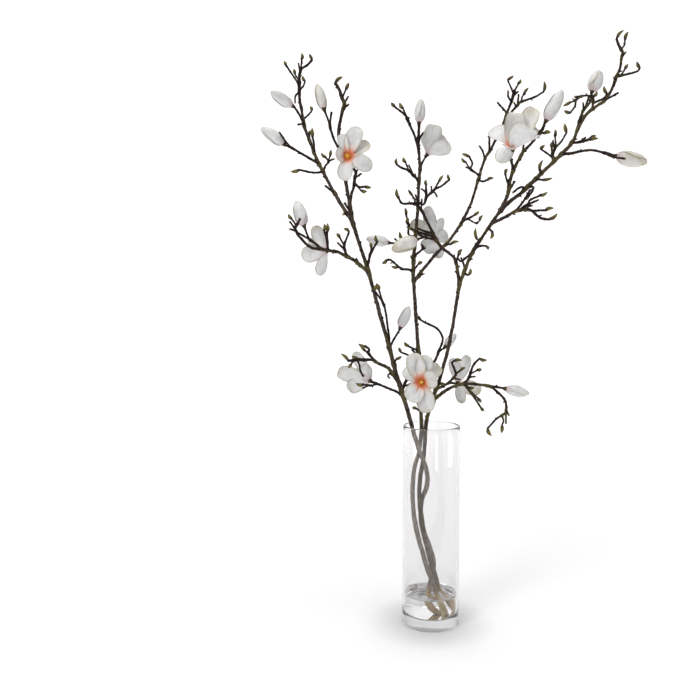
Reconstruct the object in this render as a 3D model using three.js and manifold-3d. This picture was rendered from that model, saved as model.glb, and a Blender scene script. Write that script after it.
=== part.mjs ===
// Three cut magnolia branches in bud and flower, standing in a clear cylinder vase with a little water.
// Millimetres, +Z up. The origin is the centre of the vase's flat underside, and -Y is the front.
import * as THREE from 'three';
import { mergeVertices } from 'three/addons/utils/BufferGeometryUtils.js';
import Module from 'manifold-3d';

const wasm = await Module();
wasm.setup();

// ---------------------------------------------------------------- driving dimensions
const VASE_RADIUS = 56.5;
const VASE_HEIGHT = 400;
const VASE_WALL = 4.5;
const VASE_FLOOR = 22;
const WATER_LEVEL = 61;
const ROUND_SEGMENTS = 40;
const GAP = 0.3;
const TWIG_RADIUS = 1.9;
const LEAF_BUD_RADIUS = 3.1;
const BUD_SIDES = 7;
const COLLAR_LENGTH = 3;
const COLLAR_RADIUS = 3.3;
const TEPAL_THICKNESS = 1.2;
const TEPAL_STEPS = 4;
const HOLLOW = 0.36;
// Heart of a flower: how far along its axis, and how thick there, from the stalk to the top of the cone.
const HEART = [[1.5, 3.4], [6, 3.8], [11, 3], [15, 0.8]];

// ---------------------------------------------------------------- how a limb is written down
// A limb leaves its parent at a share of the parent's length. Its points are millimetres across, back
// and up from there, and its end is cut, a leaf bud, a flower bud or a flower.
const limb = (share, radius, points, end, twigs = []) => ({ share, radius, points, end, twigs });
const cut = { kind: 'cut' };
const leaf = (across, up) => ({ kind: 'leaf', reach: [across, 0, up] });
const bud = (name, width, reach) => ({ kind: 'bud', name, width, reach });
const flower = (name, axis) => ({ kind: 'flower', name, axis });

// ---------------------------------------------------------------- left branch
const leftLowTwig = limb(0.45, 3.5, [[-12, -11, 19], [-24, -25, 36], [-41, -41, 45], [-56, -55, 54],
  [-82, -73, 56], [-100, -83, 55]], leaf(-15, 13), [
  limb(0.24, 1.8, [[-8, -11, -4], [-5, -20, -9]], cut),
  limb(0.59, 2.6, [[-13, 12, 16], [-11, 16, 22], [-17, 20, 27]], leaf(-15, 6), [
    limb(0.5, 1.8, [[-9, -14, 8]], leaf(-9, 9)),
  ]),
  limb(0.78, 1.8, [[-11, 26, 0]], leaf(-12, 5)),
  limb(0.88, 1.9, [[4, -8, -8], [6, -12, -20], [12, -16, -30]], cut),
  limb(0.93, 1.8, [[-4, -7, -6]], leaf(-6, -8)),
]);

const leftSideTwig = limb(0.66, 3.2, [[-15, -7, 13], [-29, -15, 24], [-58, -31, 38], [-75, -39, 40],
  [-108, -49, 45], [-130, -47, 66], [-137, -45, 80], [-128, -39, 99]], cut, [
  limb(0.12, 2, [[-7, 10, 13]], cut),
  limb(0.28, 2.5, [[-5, -7, 13], [-5, -11, 21], [4, -24, 45]], leaf(-11, 5), [
    limb(0.29, 1.8, [[-13, -14, 12]], cut),
    limb(0.44, 1.8, [[-9, 16, 16]], leaf(-6, 8)),
  ]),
  limb(0.42, 2.3, [[-13, 14, 3]], flower('hind_left', [-0.75, 0.6, -0.1])),
  limb(0.49, 2.3, [[-1, -8, 15], [-1, -16, 31]], leaf(0, 18), [
    limb(0.46, 1.8, [[-5, -14, 20]], leaf(0, 13)),
  ]),
  limb(0.55, 2.4, [[-13, 10, 12], [-25, 18, 21], [-33, 30, 42]], bud('left_side', 25, [-16, 12, 50]), [
    limb(0.51, 1.9, [[-22, -14, 12]], cut),
  ]),
  limb(0.86, 1.9, [[-11, -16, 3]], cut),
  limb(0.89, 1.7, [[-10, -6, 13]], cut),
  limb(0.92, 1.8, [[-10, 20, 14]], leaf(-7, 10)),
]);

const leftTallTwig = limb(0.75, 3.5, [[-15, 14, 25], [-31, 30, 53], [-45, 44, 79], [-69, 68, 127],
  [-87, 86, 174], [-97, 94, 201], [-106, 106, 251], [-108, 110, 271], [-107, 117, 309],
  [-104, 119, 320], [-91, 122, 330], [-82, 124, 340]], leaf(-7, 12), [
  limb(0.07, 2.1, [[-6, -12, -4]], cut),
  limb(0.2, 2, [[-18, -18, 12]], cut),
  limb(0.34, 2.4, [[-16, -11, -4], [-44, -30, -2]], leaf(-17, -3)),
  limb(0.34, 2.3, [[4, 12, 13], [10, 22, 23], [5, 30, 32]], leaf(-10, 10), [
    limb(0.69, 1.7, [[4, -10, 9]], leaf(2, 14)),
    limb(0.72, 1.8, [[12, -24, 1]], cut),
  ]),
  limb(0.39, 2.6, [[-18, -11, 9], [-51, -33, 24], [-62, -40, 28]], bud('left_middle', 23, [-42, -12, 29]), [
    limb(0.8, 1.8, [[-10, -10, 9], [-23, -26, 26]], cut),
  ]),
  limb(0.46, 2.3, [[0, -10, 12], [-2, -22, 25]], leaf(-1, 18)),
  limb(0.53, 2, [[-1, 16, 17]], leaf(3, 7)),
  limb(0.62, 2.4, [[-6, -14, 13], [-17, -30, 28]], bud('left_top', 22, [-42, -18, 24])),
  limb(0.63, 1.9, [[-13, 18, 2]], cut),
  limb(0.65, 1.8, [[11, 14, 14], [17, 24, 25]], leaf(-4, 8)),
  limb(0.72, 1.8, [[-5, 14, 14]], cut),
  limb(0.8, 1.9, [[-7, -9, -10], [-7, -20, -26]], cut),
  limb(0.81, 1.8, [[10, -16, 5], [13, -26, 10]], leaf(-5, 11)),
  limb(0.83, 2, [[-9, -12, 14], [-24, -28, 33]], leaf(-4, 9)),
  limb(0.85, 1.8, [[-10, 18, 22]], leaf(-3, 11)),
  limb(0.9, 1.8, [[-4, 14, 24]], cut),
  limb(0.91, 1.8, [[2, -7, 12], [3, -12, 20]], leaf(0, 13)),
]);

const leftBranch = limb(0, 5.6, [[37, 14, 20], [28, 18, 38], [17, 16, 70], [6, 16, 105], [-5, 18, 145],
  [-17, 19, 195], [-19, 17, 226], [-16, 12, 250], [-9, 0, 276], [-8, -9, 300], [-15, -15, 326],
  [-25, -16, 352], [-37, -10, 390], [-46, -10, 422], [-57, -15, 458], [-72, -20, 506], [-90, -24, 570],
  [-110, -30, 642], [-128, -37, 706], [-145, -44, 757], [-158, -50, 798], [-167, -60, 852],
  [-178, -58, 920], [-183, -52, 960], [-173, -49, 1014], [-182, -46, 1040], [-190, -44, 1053],
], leaf(15, 11), [
  limb(0.43, 2.7, [[-15, 4, 8], [-35, 12, 16], [-62, 26, 25]], flower('left_mouth', [-0.6, 0.7, 0.35]), [
    limb(0.82, 2.4, [[-10, -16, -2], [-26, -20, 0]], leaf(-16, 3), [
      limb(0.7, 1.8, [[-13, -5, -6]], cut),
    ]),
  ]),
  limb(0.44, 2.3, [[9, 8, 19], [14, 14, 35]], leaf(5, 12), [
    limb(0.18, 1.9, [[17, 10, 6]], cut),
    limb(0.37, 1.8, [[13, 16, 12]], cut),
  ]),
  leftLowTwig,
  limb(0.49, 1.9, [[4, -12, 11]], leaf(11, 6)),
  limb(0.52, 2.2, [[13, 15, 23], [21, 24, 35]], bud('left_low', 21, [18, 8, 44])),
  limb(0.52, 2.3, [[-1, -5, 24], [-10, -18, 80], [-16, -21, 94], [-31, -26, 112]], leaf(4, 11), [
    limb(0.75, 1.8, [[-7, 12, 24]], leaf(-6, 14)),
  ]),
  leftSideTwig,
  limb(0.67, 2.6, [[4, -9, 16], [7, -16, 27], [18, -30, 46]], leaf(-3, 13), [
    limb(0.54, 1.8, [[1, 14, 11]], leaf(-3, 10)),
  ]),
  leftTallTwig,
  limb(0.77, 2.1, [[-12, -10, 17]], cut),
  limb(0.78, 2.9, [[2, 3, 19], [7, 13, 38], [11, 27, 69], [4, 33, 77]], cut, [
    limb(0.57, 2.1, [[8, -15, -9], [19, -30, -11]], leaf(13, -2), [
      limb(0.24, 1.8, [[9, -30, -15]], leaf(11, -1)),
    ]),
    limb(0.71, 2, [[12, 22, 11]], cut),
    limb(0.84, 1.8, [[9, -10, 12]], cut),
  ]),
  limb(0.836, 2.7, [[6, -16, 14], [7, -30, 26]], flower('upper_left', [-0.25, -0.95, 0.12])),
  limb(0.87, 2.4, [[-14, 12, 30], [-28, 30, 76], [-32, 34, 87]], bud('left_inner', 20, [-15, 8, 51]), [
    limb(0.64, 1.9, [[3, -10, 26]], cut),
  ]),
  limb(0.95, 2, [[11, -12, 6]], cut),
  limb(0.96, 1.8, [[8, 10, 15]], cut),
  limb(0.97, 1.8, [[7, -14, 12]], leaf(6, 12)),
]);

// ---------------------------------------------------------------- middle branch
const middleRightTwig = limb(0.68, 3.5, [[10, 7, 9], [20, 17, 23], [57, 43, 65], [73, 53, 79], [102, 71, 117],
  [125, 85, 160], [134, 92, 184], [154, 107, 249], [161, 110, 264], [172, 113, 281], [196, 111, 329],
  [201, 109, 349], [213, 103, 379], [218, 97, 402]], cut, [
  limb(0.04, 2, [[8, -16, 2]], cut),
  limb(0.24, 2, [[5, -24, -2]], leaf(19, 6)),
  limb(0.36, 2.3, [[7, -13, 6], [22, -36, 14]], leaf(11, 8), [
    limb(0.56, 1.8, [[21, 17, -8], [28, 24, -1]], leaf(7, 11)),
  ]),
  limb(0.58, 2.3, [[7, -15, -6], [13, -30, -5]], leaf(15, 4)),
  limb(0.6, 2.4, [[-22, -15, 11], [-19, -23, 21], [-27, -34, 33]], leaf(-16, 6), [
    limb(0.35, 1.8, [[-16, -8, 7]], cut),
    limb(0.4, 1.8, [[-5, 15, 11], [-8, 26, 20]], leaf(-10, 11)),
  ]),
  limb(0.68, 2.1, [[-8, -15, 14], [-17, -26, 23]], cut),
  limb(0.72, 2.3, [[-4, -18, 17], [-6, -30, 29]], leaf(5, 12)),
  limb(0.85, 2.6, [[16, -11, 24], [32, -21, 41], [58, -32, 48], [75, -40, 57]], leaf(0, 22), [
    limb(0.41, 1.9, [[-8, -14, 5]], cut),
    limb(0.44, 2, [[7, 22, 28]], cut),
    limb(0.55, 1.9, [[-2, -9, 6], [0, -18, 10]], leaf(10, 14)),
  ]),
  limb(0.9, 2.2, [[-14, 30, 29]], cut),
  limb(0.95, 2.2, [[-10, -14, 7], [-13, -26, 15]], cut),
  limb(0.97, 1.9, [[15, 20, 16]], cut),
  limb(0.98, 1.9, [[-17, -20, 25]], leaf(13, 8)),
  limb(0.99, 1.9, [[12, 16, 21]], leaf(5, 10)),
]);

const middleFrontTwig = limb(0.84, 2.5, [[11, -5, -4], [15, -10, 9], [14, -20, 32]], leaf(0, 11), [
  limb(0.5, 2.2, [[22, 18, 21], [34, 26, 27], [52, 40, 42]], leaf(-3, 12), [
    limb(0.25, 1.7, [[1, 10, 14]], cut),
    limb(0.36, 1.8, [[8, -18, 15]], leaf(9, 13)),
  ]),
  limb(0.55, 2, [[14, -14, 7], [20, -22, -3]], cut),
  limb(0.73, 1.7, [[-11, -12, 5]], cut),
]);

const middleBranch = limb(0, 5.4, [[23, -8, 20], [12, -13, 58], [4, -15, 85], [-6, -15, 111], [-14, -14, 135],
  [-30, -9, 195], [-35, -5, 226], [-37, 0, 259], [-36, 3, 289], [-32, 5, 319], [-25, 5, 343],
  [-20, 3, 386], [-21, 4, 428], [-23, 12, 489], [-26, 19, 548], [-31, 28, 628], [-35, 36, 696],
  [-35, 39, 724], [-28, 49, 792], [-24, 57, 855], [-20, 65, 920], [-23, 69, 955], [-22, 76, 1002],
], bud('middle_top', 22, [4, 6, 51]), [
  limb(0.43, 2.1, [[-4, -10, -7], [-10, -16, -3]], leaf(-9, 2)),
  limb(0.449, 2.7, [[-2, -26, 19], [-3, -46, 33]], flower('front', [0, -0.99, 0.1])),
  limb(0.46, 2.6, [[8, 10, 15], [27, 24, 50], [38, 28, 70], [48, 30, 100], [44, 28, 112], [33, 24, 124],
    [9, 22, 136], [2, 26, 141]], leaf(-8, 8), [
    limb(0.5, 1.9, [[12, 14, 6]], bud('low_middle', 17, [24, 10, 26])),
  ]),
  limb(0.51, 2.1, [[-17, -12, 19], [-37, -22, 28]], leaf(-5, 10)),
  limb(0.53, 1.8, [[-12, 14, 11]], cut),
  limb(0.54, 2, [[-21, -26, 10]], leaf(-9, 9)),
  middleRightTwig,
  limb(0.7, 1.9, [[8, -24, 13]], leaf(9, 4)),
  limb(0.7, 2.6, [[-11, -8, 3], [-24, -17, 4], [-48, -39, 20], [-55, -44, 20]], leaf(-10, -7), [
    limb(0.41, 1.8, [[-8, -16, 2]], leaf(-14, 2)),
  ]),
  limb(0.72, 2.3, [[-6, -14, 10]], cut),
  limb(0.73, 2.3, [[21, -20, 17]], cut, [
    limb(0.9, 1.8, [[-7, -8, 8]], cut),
  ]),
  limb(0.75, 2.4, [[-22, -23, 3], [-52, -56, 3]], bud('middle_left', 21, [-44, -10, 7]), [
    limb(0.41, 1.9, [[-3, 20, 10]], leaf(-6, 17)),
    limb(0.62, 1.8, [[-11, -10, 10]], cut),
  ]),
  limb(0.77, 2.2, [[-13, 8, 5], [-13, 17, 24], [-17, 30, 47]], leaf(-3, 15), [
    limb(0.6, 1.7, [[-5, -14, 3]], leaf(2, 12)),
  ]),
  limb(0.78, 2.5, [[16, 6, -9], [42, 14, -15]], flower('middle', [-0.1, 0.95, 0.2])),
  middleFrontTwig,
  limb(0.88, 1.9, [[-7, -11, 7], [-10, -22, 15]], cut),
  limb(0.885, 2.5, [[-23, -14, 18], [-38, -25, 22], [-48, -34, 26]], leaf(0, 13), [
    limb(0.28, 1.8, [[-10, -16, 17]], cut),
    limb(0.46, 1.8, [[-6, 18, 20]], leaf(-5, 11)),
  ]),
  limb(0.91, 2.5, [[7, 13, 16], [16, 26, 31]], flower('top', [0.55, 0.05, 0.83])),
  limb(0.95, 2.7, [[-11, -15, 26], [-29, -36, 58], [-52, -50, 72]], leaf(-7, 8), [
    limb(0.6, 1.8, [[3, 16, 10]], cut),
    limb(0.64, 1.8, [[-10, -24, 14]], leaf(-7, 12)),
  ]),
  limb(0.97, 1.9, [[8, -16, 11]], cut),
]);

// ---------------------------------------------------------------- right branch
const rightLowTwig = limb(0.51, 3.7, [[8, -10, 18], [21, -22, 31], [37, -34, 44], [53, -44, 52],
  [67, -52, 54], [101, -66, 52], [130, -76, 48]], bud('right_low', 20, [45, -8, -9]), [
  limb(0.09, 2, [[2, -10, 13]], cut),
  limb(0.56, 2.4, [[8, -6, 11], [15, -18, 37], [25, -26, 51]], leaf(15, -3), [
    limb(0.28, 1.8, [[10, -14, 3]], cut),
    limb(0.41, 1.8, [[16, 18, 5]], leaf(9, 2)),
  ]),
  limb(0.57, 2.4, [[8, -11, -13], [26, -36, -42]], leaf(6, -5), [
    limb(0.15, 1.8, [[4, -12, 1]], leaf(8, 0)),
    limb(0.26, 1.9, [[20, 20, -18]], leaf(8, -9)),
  ]),
  limb(0.83, 2.3, [[12, -4, -7], [30, -11, -25], [33, -14, -38], [32, -18, -49], [9, -25, -63],
    [-5, -30, -77]], leaf(8, -14), [
    limb(0.54, 1.9, [[3, -12, -8]], cut),
    limb(0.58, 1.8, [[3, 14, -23]], cut),
    limb(0.67, 1.8, [[2, -7, -8], [-2, -14, -16]], leaf(-1, -15)),
  ]),
]);

const rightMouthTwig = limb(0.56, 2.6, [[10, 8, 1], [20, 16, 5], [29, 22, 10]], cut, [
  limb(0.07, 2, [[-2, -5, 8], [2, -13, 20], [5, -21, 31], [1, -26, 39]], leaf(9, 3), [
    limb(0.22, 1.8, [[4, -10, 2]], leaf(11, 0)),
  ]),
  limb(0.9, 2.3, [[8, -11, 11], [13, -18, 20], [2, -35, 43], [5, -40, 48]], leaf(16, 1), [
    limb(0.26, 1.8, [[15, 8, -4]], cut),
    limb(0.41, 1.8, [[12, 14, 8]], leaf(9, 5)),
  ]),
  limb(0.96, 2.5, [[18, 8, -3]], flower('right_mouth', [0.3, 0.93, 0.1])),
]);

const rightCrossTwig = limb(0.81, 3.2, [[-3, 2, 21], [-5, 4, 38], [-10, 6, 53], [-34, 18, 75], [-43, 23, 89],
  [-62, 31, 128], [-71, 33, 146], [-81, 30, 158], [-97, 20, 158], [-111, 12, 158], [-117, 8, 166],
], leaf(-4, 19), [
  limb(0.19, 2.2, [[2, -22, 14]], leaf(7, 11)),
  limb(0.47, 2.4, [[-12, -7, 5], [-36, -20, 11], [-47, -26, 15]], leaf(-10, 2), [
    limb(0.35, 2.2, [[-10, -12, -6], [-20, -24, -10]], bud('middle_front', 29, [-49, -20, -21])),
  ]),
  limb(0.52, 2.1, [[-14, 3, 3], [-29, 6, 10]], cut),
  limb(0.74, 2, [[0, -14, 20]], cut),
  limb(0.77, 1.9, [[-8, -12, 23]], cut),
  limb(0.82, 1.8, [[0, 11, 11], [-4, 22, 20]], leaf(-8, 11)),
]);

const rightForwardTwig = limb(0.97, 3.1, [[12, -14, 4], [34, -40, 16], [46, -50, 18], [58, -60, 16],
  [72, -72, 1], [85, -82, -3]], leaf(15, 11), [
  limb(0.44, 2.3, [[18, 15, 21], [33, 30, 43]], cut),
  limb(0.51, 2.3, [[8, -7, 7], [28, -22, 16]], cut, [
    limb(0.27, 1.8, [[11, -14, 0]], cut),
    limb(0.47, 1.9, [[4, 5, 8], [24, 16, 18]], leaf(15, 7)),
  ]),
  limb(0.6, 2.2, [[16, 13, 0], [43, 34, 3]], leaf(17, 4)),
]);

const rightFlowerTwig = limb(1, 3.5, [[8, -5, 18], [13, -9, 34], [15, -13, 54], [20, -17, 73], [36, -25, 104],
  [49, -29, 118], [68, -33, 143], [72, -35, 154]], bud('right_inner', 25, [28, -6, 54]), [
  limb(0.22, 2.3, [[17, 26, 22]], cut),
  limb(0.27, 1.9, [[-8, -14, 11], [-13, -26, 20]], leaf(4, 8)),
  limb(0.44, 2.6, [[-10, -22, 20], [-9, -34, 29]], flower('upper_right', [0.1, -0.1, 0.99])),
  limb(0.61, 2.2, [[8, 20, 21]], cut),
  limb(0.9, 1.8, [[3, -14, -5]], leaf(13, 1)),
]);

const rightTallTwig = limb(0.53, 2.8, [[5, 4, 20], [11, 8, 36], [26, 12, 54], [30, 15, 67], [30, 16, 72],
], bud('right_top', 28, [16, 8, 45]), [
  limb(0.52, 1.9, [[-6, -14, 10]], cut),
  limb(0.6, 1.9, [[6, 9, 15], [10, 14, 24]], cut),
  limb(0.93, 2.1, [[-16, -12, -2], [-43, -34, -10]], cut, [
    limb(0.61, 1.9, [[-9, 15, -5], [-14, 22, -6]], leaf(-15, -8), [
      limb(0.5, 1.8, [[-4, -9, -15], [-17, -20, -31]], leaf(-12, 5)),
    ]),
  ]),
]);

const rightOuterTwig = limb(1, 3.8, [[20, 9, 19], [41, 19, 34], [86, 41, 76], [129, 61, 116], [146, 68, 132],
  [157, 74, 148], [166, 79, 169], [179, 84, 191], [194, 88, 207], [221, 94, 227], [231, 97, 239],
  [239, 101, 253], [255, 108, 292], [262, 113, 325], [253, 115, 343], [250, 116, 353],
], leaf(15, 17), [
  limb(0.15, 2.2, [[-7, -6, 4], [-18, -14, -1], [-27, -22, -9]], cut),
  limb(0.17, 2.2, [[8, -9, -3], [4, -16, -12], [-3, -24, -20]], leaf(-11, -8)),
  limb(0.22, 2.2, [[7, -26, -6]], leaf(19, 4)),
  limb(0.26, 2.1, [[-9, -18, 2]], leaf(7, 20)),
  limb(0.34, 2.6, [[1, 16, 16], [3, 30, 32]], leaf(0, 11), [
    limb(0.22, 2, [[-10, 12, 12], [-20, 23, 23]], leaf(9, 7)),
    limb(0.52, 2, [[4, -6, 12], [13, -12, 22], [21, -20, 37]], leaf(-4, 18), [
      limb(0.23, 1.7, [[-7, -10, 15]], cut),
      limb(0.32, 1.8, [[3, 18, 24]], leaf(0, 14)),
    ]),
  ]),
  limb(0.39, 2.8, [[13, -9, -1], [45, -32, 1], [69, -51, -8], [81, -60, -14]],
    bud('right_side', 28, [56, -10, -15]), [
    limb(0.82, 2, [[9, -17, -10], [24, -44, -19]], cut),
  ]),
  limb(0.46, 2.4, [[10, -11, -1], [26, -30, 0]], leaf(17, 2), [
    limb(0.42, 1.9, [[17, 16, 12]], cut),
    limb(0.72, 1.8, [[16, 14, 9]], leaf(11, 4)),
  ]),
  rightTallTwig,
  limb(0.64, 2.2, [[-4, -16, 9], [-8, -30, 16]], leaf(7, 10), [
    limb(0.47, 1.9, [[16, -15, 6], [19, -22, 12]], leaf(-6, 15)),
  ]),
  limb(0.7, 2.4, [[23, -20, 11]], cut),
  limb(0.81, 1.9, [[-6, -8, 4]], cut),
  limb(0.83, 2.2, [[8, -8, -1], [30, -29, 1], [32, -34, 5]], leaf(-6, 13), [
    limb(0.17, 1.8, [[14, 18, 18]], leaf(6, 10)),
  ]),
  limb(0.92, 2, [[3, -12, 4]], cut),
  limb(0.95, 1.8, [[10, 10, 12], [14, 20, 25]], leaf(7, 17)),
]);

const rightBranch = limb(0, 5.6, [[13, 6, 20], [0, 0, 38], [-5, -2, 57], [-1, -1, 77], [4, 0, 100], [6, 2, 122],
  [-1, 4, 150], [-12, 6, 180], [-18, 6, 211], [-22, 4, 240], [-23, 4, 268], [-21, 5, 298],
  [-16, 6, 325], [-12, 8, 365], [-10, 9, 401], [-4, 8, 430], [3, 4, 456], [13, -2, 484], [28, -14, 547],
  [41, -22, 621], [49, -28, 679], [63, -37, 720], [74, -42, 745], [97, -52, 781], [119, -58, 814],
], cut, [
  rightLowTwig,
  rightMouthTwig,
  rightCrossTwig,
  limb(0.84, 2, [[8, -6, -5]], leaf(4, 14)),
  limb(0.85, 2, [[-8, 6, 22]], cut),
  limb(0.89, 2.1, [[-21, 8, -16], [-25, 10, -11]], cut),
  limb(0.9, 2.5, [[9, -11, 4], [19, -24, 3]], leaf(3, -7)),
  limb(0.92, 2.2, [[-9, -20, 3]], leaf(-2, 20)),
  limb(0.955, 2.2, [[5, -16, -9]], leaf(-4, -13)),
  rightForwardTwig,
  rightFlowerTwig,
  rightOuterTwig,
]);

// ---------------------------------------------------------------- tepals of the eight open flowers
// Each tepal: how far its tip lies from the middle of the flower, across, back and up, then its width.
const TEPALS = {
  front: [[-20, -14, 57, 36], [7, -12, 54, 34], [27, -30, 12, 36], [11, -16, -57, 36], [-25, -22, -33, 38],
    [-34, 2, 26, 27], [37, 8, 33, 29]],
  upper_left: [[19, -12, 50, 33], [39, -8, 22, 25], [43, -12, -23, 29], [-6, -14, -45, 29],
    [-23, -24, 2, 26], [-13, -8, 40, 20]],
  middle: [[-17, 20, 71, 27], [15, 16, 46, 18], [25, 8, 12, 28], [10, 14, -36, 24], [-24, 8, -22, 34],
    [-50, 12, 38, 32]],
  upper_right: [[-32, 34, 45, 40], [9, 16, 73, 38], [19, -44, 33, 50], [56, 34, 45, 36],
    [-29, -28, -26, 30], [48, 36, 84, 34]],
  top: [[-9, -10, 44, 20], [14, -24, 58, 38], [38, -2, 36, 38], [42, -27, 12, 38], [52, 32, 27, 32]],
  hind_left: [[-22, 14, 48, 28], [-51, 14, -10, 32], [-14, 16, -47, 24], [-36, 26, 23, 20]],
  right_mouth: [[-10, 14, 50, 24], [23, 20, 56, 24], [50, 20, -20, 30], [12, 18, -43, 22]],
  left_mouth: [[-32, 20, 58, 24], [-21, 8, 31, 36], [-68, 8, 18, 34], [-46, 6, -18, 32]],
};

// ---------------------------------------------------------------- geometry helpers
const vector = (point) => new THREE.Vector3(...point);

function bodyOf(geometry) {
  const bare = geometry.clone();
  bare.deleteAttribute('normal');
  bare.deleteAttribute('uv');
  const merged = mergeVertices(bare, 1e-4);
  const mesh = new wasm.Mesh({
    numProp: 3,
    vertProperties: new Float32Array(merged.attributes.position.array),
    triVerts: new Uint32Array(merged.index.array),
  });
  return new wasm.Manifold(mesh);
}

function geometryOf(body) {
  const mesh = body.getMesh();
  const geometry = new THREE.BufferGeometry();
  geometry.setAttribute('position', new THREE.BufferAttribute(new Float32Array(mesh.vertProperties), 3));
  geometry.setIndex(new THREE.BufferAttribute(new Uint32Array(mesh.triVerts), 1));
  geometry.computeVertexNormals();
  return geometry;
}

function closedGeometry(positions, triangles) {
  const geometry = new THREE.BufferGeometry();
  geometry.setAttribute('position', new THREE.Float32BufferAttribute(positions, 3));
  geometry.setIndex(triangles);
  geometry.computeVertexNormals();
  return geometry;
}

// The point at a share of a path's length.
function pointAlong(path, share) {
  const lengths = path.slice(1).map((point, i) => point.distanceTo(path[i]));
  let left = share * lengths.reduce((sum, length) => sum + length, 0);
  for (let i = 0; i < lengths.length; i += 1) {
    if (left <= lengths[i] || i === lengths.length - 1) {
      return path[i].clone().lerp(path[i + 1], Math.min(left / lengths[i], 1));
    }
    left -= lengths[i];
  }
  return path[path.length - 1].clone();
}

// How many sides a limb has for its thickness: stems, twigs and the thinnest twigs.
function sidesFor(radius) {
  if (radius > 2.7) {
    return 5;
  }
  return radius > 2 ? 4 : 3;
}

// A closed tube through the points, as thick at each as its radius says.
function taperedTube(path, radii, sides) {
  const positions = [];
  const triangles = [];
  let across = null;
  path.forEach((point, i) => {
    const before = path[Math.max(i - 1, 0)];
    const after = path[Math.min(i + 1, path.length - 1)];
    const along = after.clone().sub(before).normalize();
    const first = Math.abs(along.x) < 0.8 ? new THREE.Vector3(1, 0, 0) : new THREE.Vector3(0, 1, 0);
    const guide = across ?? first;
    across = guide.clone().addScaledVector(along, -guide.dot(along)).normalize();
    const over = along.clone().cross(across);
    for (let k = 0; k < sides; k += 1) {
      const turn = (2 * Math.PI * k) / sides;
      const rim = point.clone().addScaledVector(across, radii[i] * Math.cos(turn));
      rim.addScaledVector(over, radii[i] * Math.sin(turn));
      positions.push(rim.x, rim.y, rim.z);
    }
  });
  for (let i = 0; i < path.length - 1; i += 1) {
    for (let k = 0; k < sides; k += 1) {
      const a = i * sides + k;
      const b = i * sides + ((k + 1) % sides);
      triangles.push(a, b, b + sides, a, b + sides, a + sides);
    }
  }
  const last = (path.length - 1) * sides;
  for (let k = 1; k < sides - 1; k += 1) {
    triangles.push(0, k + 1, k);
    triangles.push(last, last + k, last + k + 1);
  }
  return closedGeometry(positions, triangles);
}

// ---------------------------------------------------------------- branches
// Follows a limb and its twigs, adds a closed body for each, and notes where buds and flowers sit.
function growLimb(part, parentPath, margin, bodies, blooms) {
  const root = parentPath ? pointAlong(parentPath, part.share) : new THREE.Vector3();
  const path = part.points.map((point) => vector(point).add(root));
  if (parentPath) {
    path.unshift(root);
  }
  const thin = Math.min(part.radius, TWIG_RADIUS);
  const radii = path.map((_, i) => part.radius + (thin - part.radius) * 0.8 * (i / (path.length - 1)));
  part.twigs.forEach((twig) => growLimb(twig, path, margin, bodies, blooms));
  const tube = { path: [...path], radii: [...radii] };
  const tip = path[path.length - 1];
  const step = (direction, distance, radius) => {
    tube.path.push(tip.clone().addScaledVector(direction, distance));
    tube.radii.push(radius);
  };
  if (part.end.kind === 'leaf') {
    const reach = vector(part.end.reach);
    const size = reach.length();
    reach.normalize();
    step(reach, size * 0.4, LEAF_BUD_RADIUS);
    step(reach, size + margin, 0.6);
  } else if (part.end.kind === 'bud') {
    const axis = vector(part.end.reach).normalize();
    step(axis, COLLAR_LENGTH + margin, COLLAR_RADIUS);
    const seat = tip.clone().addScaledVector(axis, COLLAR_LENGTH + GAP);
    blooms.push({ ...part.end, seat, axis });
  } else if (part.end.kind === 'flower') {
    const axis = vector(part.end.axis).normalize();
    HEART.forEach(([distance, radius]) => step(axis, distance, radius));
    blooms.push({ ...part.end, seat: tip, axis });
  } else {
    const before = path[path.length - 2];
    tube.path.pop();
    tube.radii.pop();
    step(tip.clone().sub(before).normalize(), margin, radii[radii.length - 1]);
  }
  const thickness = tube.radii.map((radius) => radius + margin);
  bodies.push(bodyOf(taperedTube(tube.path, thickness, sidesFor(part.radius))));
}

// One grown branch. Its cut foot is level, just clear of the vase's floor.
function growBranch(branch, margin) {
  const bodies = [];
  const blooms = [];
  growLimb(branch, null, margin, bodies, blooms);
  const under = new THREE.BoxGeometry(4 * VASE_RADIUS, 4 * VASE_RADIUS, VASE_FLOOR);
  under.translate(0, 0, VASE_FLOOR / 2 + GAP - margin);
  const whole = bodies.reduce((sum, body) => sum.add(body));
  return { body: whole.subtract(bodyOf(under)), blooms };
}

// ---------------------------------------------------------------- buds and tepals
// A closed flower bud: a lathe-turned drop, standing on its collar and pointing along its axis.
function flowerBud({ seat, axis, reach, width }) {
  const length = vector(reach).length();
  const radius = width / 2;
  const profile = [[0, 0], [2.4, 0], [0.78 * radius, 0.14 * length], [radius, 0.4 * length],
    [0.86 * radius, 0.68 * length], [0.45 * radius, 0.92 * length], [0, length]];
  const geometry = new THREE.LatheGeometry(profile.map(([x, y]) => new THREE.Vector2(x, y)), BUD_SIDES);
  geometry.applyQuaternion(new THREE.Quaternion().setFromUnitVectors(new THREE.Vector3(0, 1, 0), axis));
  geometry.translate(seat.x, seat.y, seat.z);
  return geometry;
}

// Half-width of a tepal along its length, as a share of its widest: narrow claw, broad blade, round tip.
function bladeShare(along) {
  const widest = 0.62;
  if (along > widest) {
    return 0.15 + 0.85 * Math.sqrt(Math.max(1 - ((along - widest) / (1 - widest)) ** 2, 0));
  }
  const rise = along / widest;
  return 0.24 + 0.76 * rise * rise * (3 - 2 * rise);
}

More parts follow.
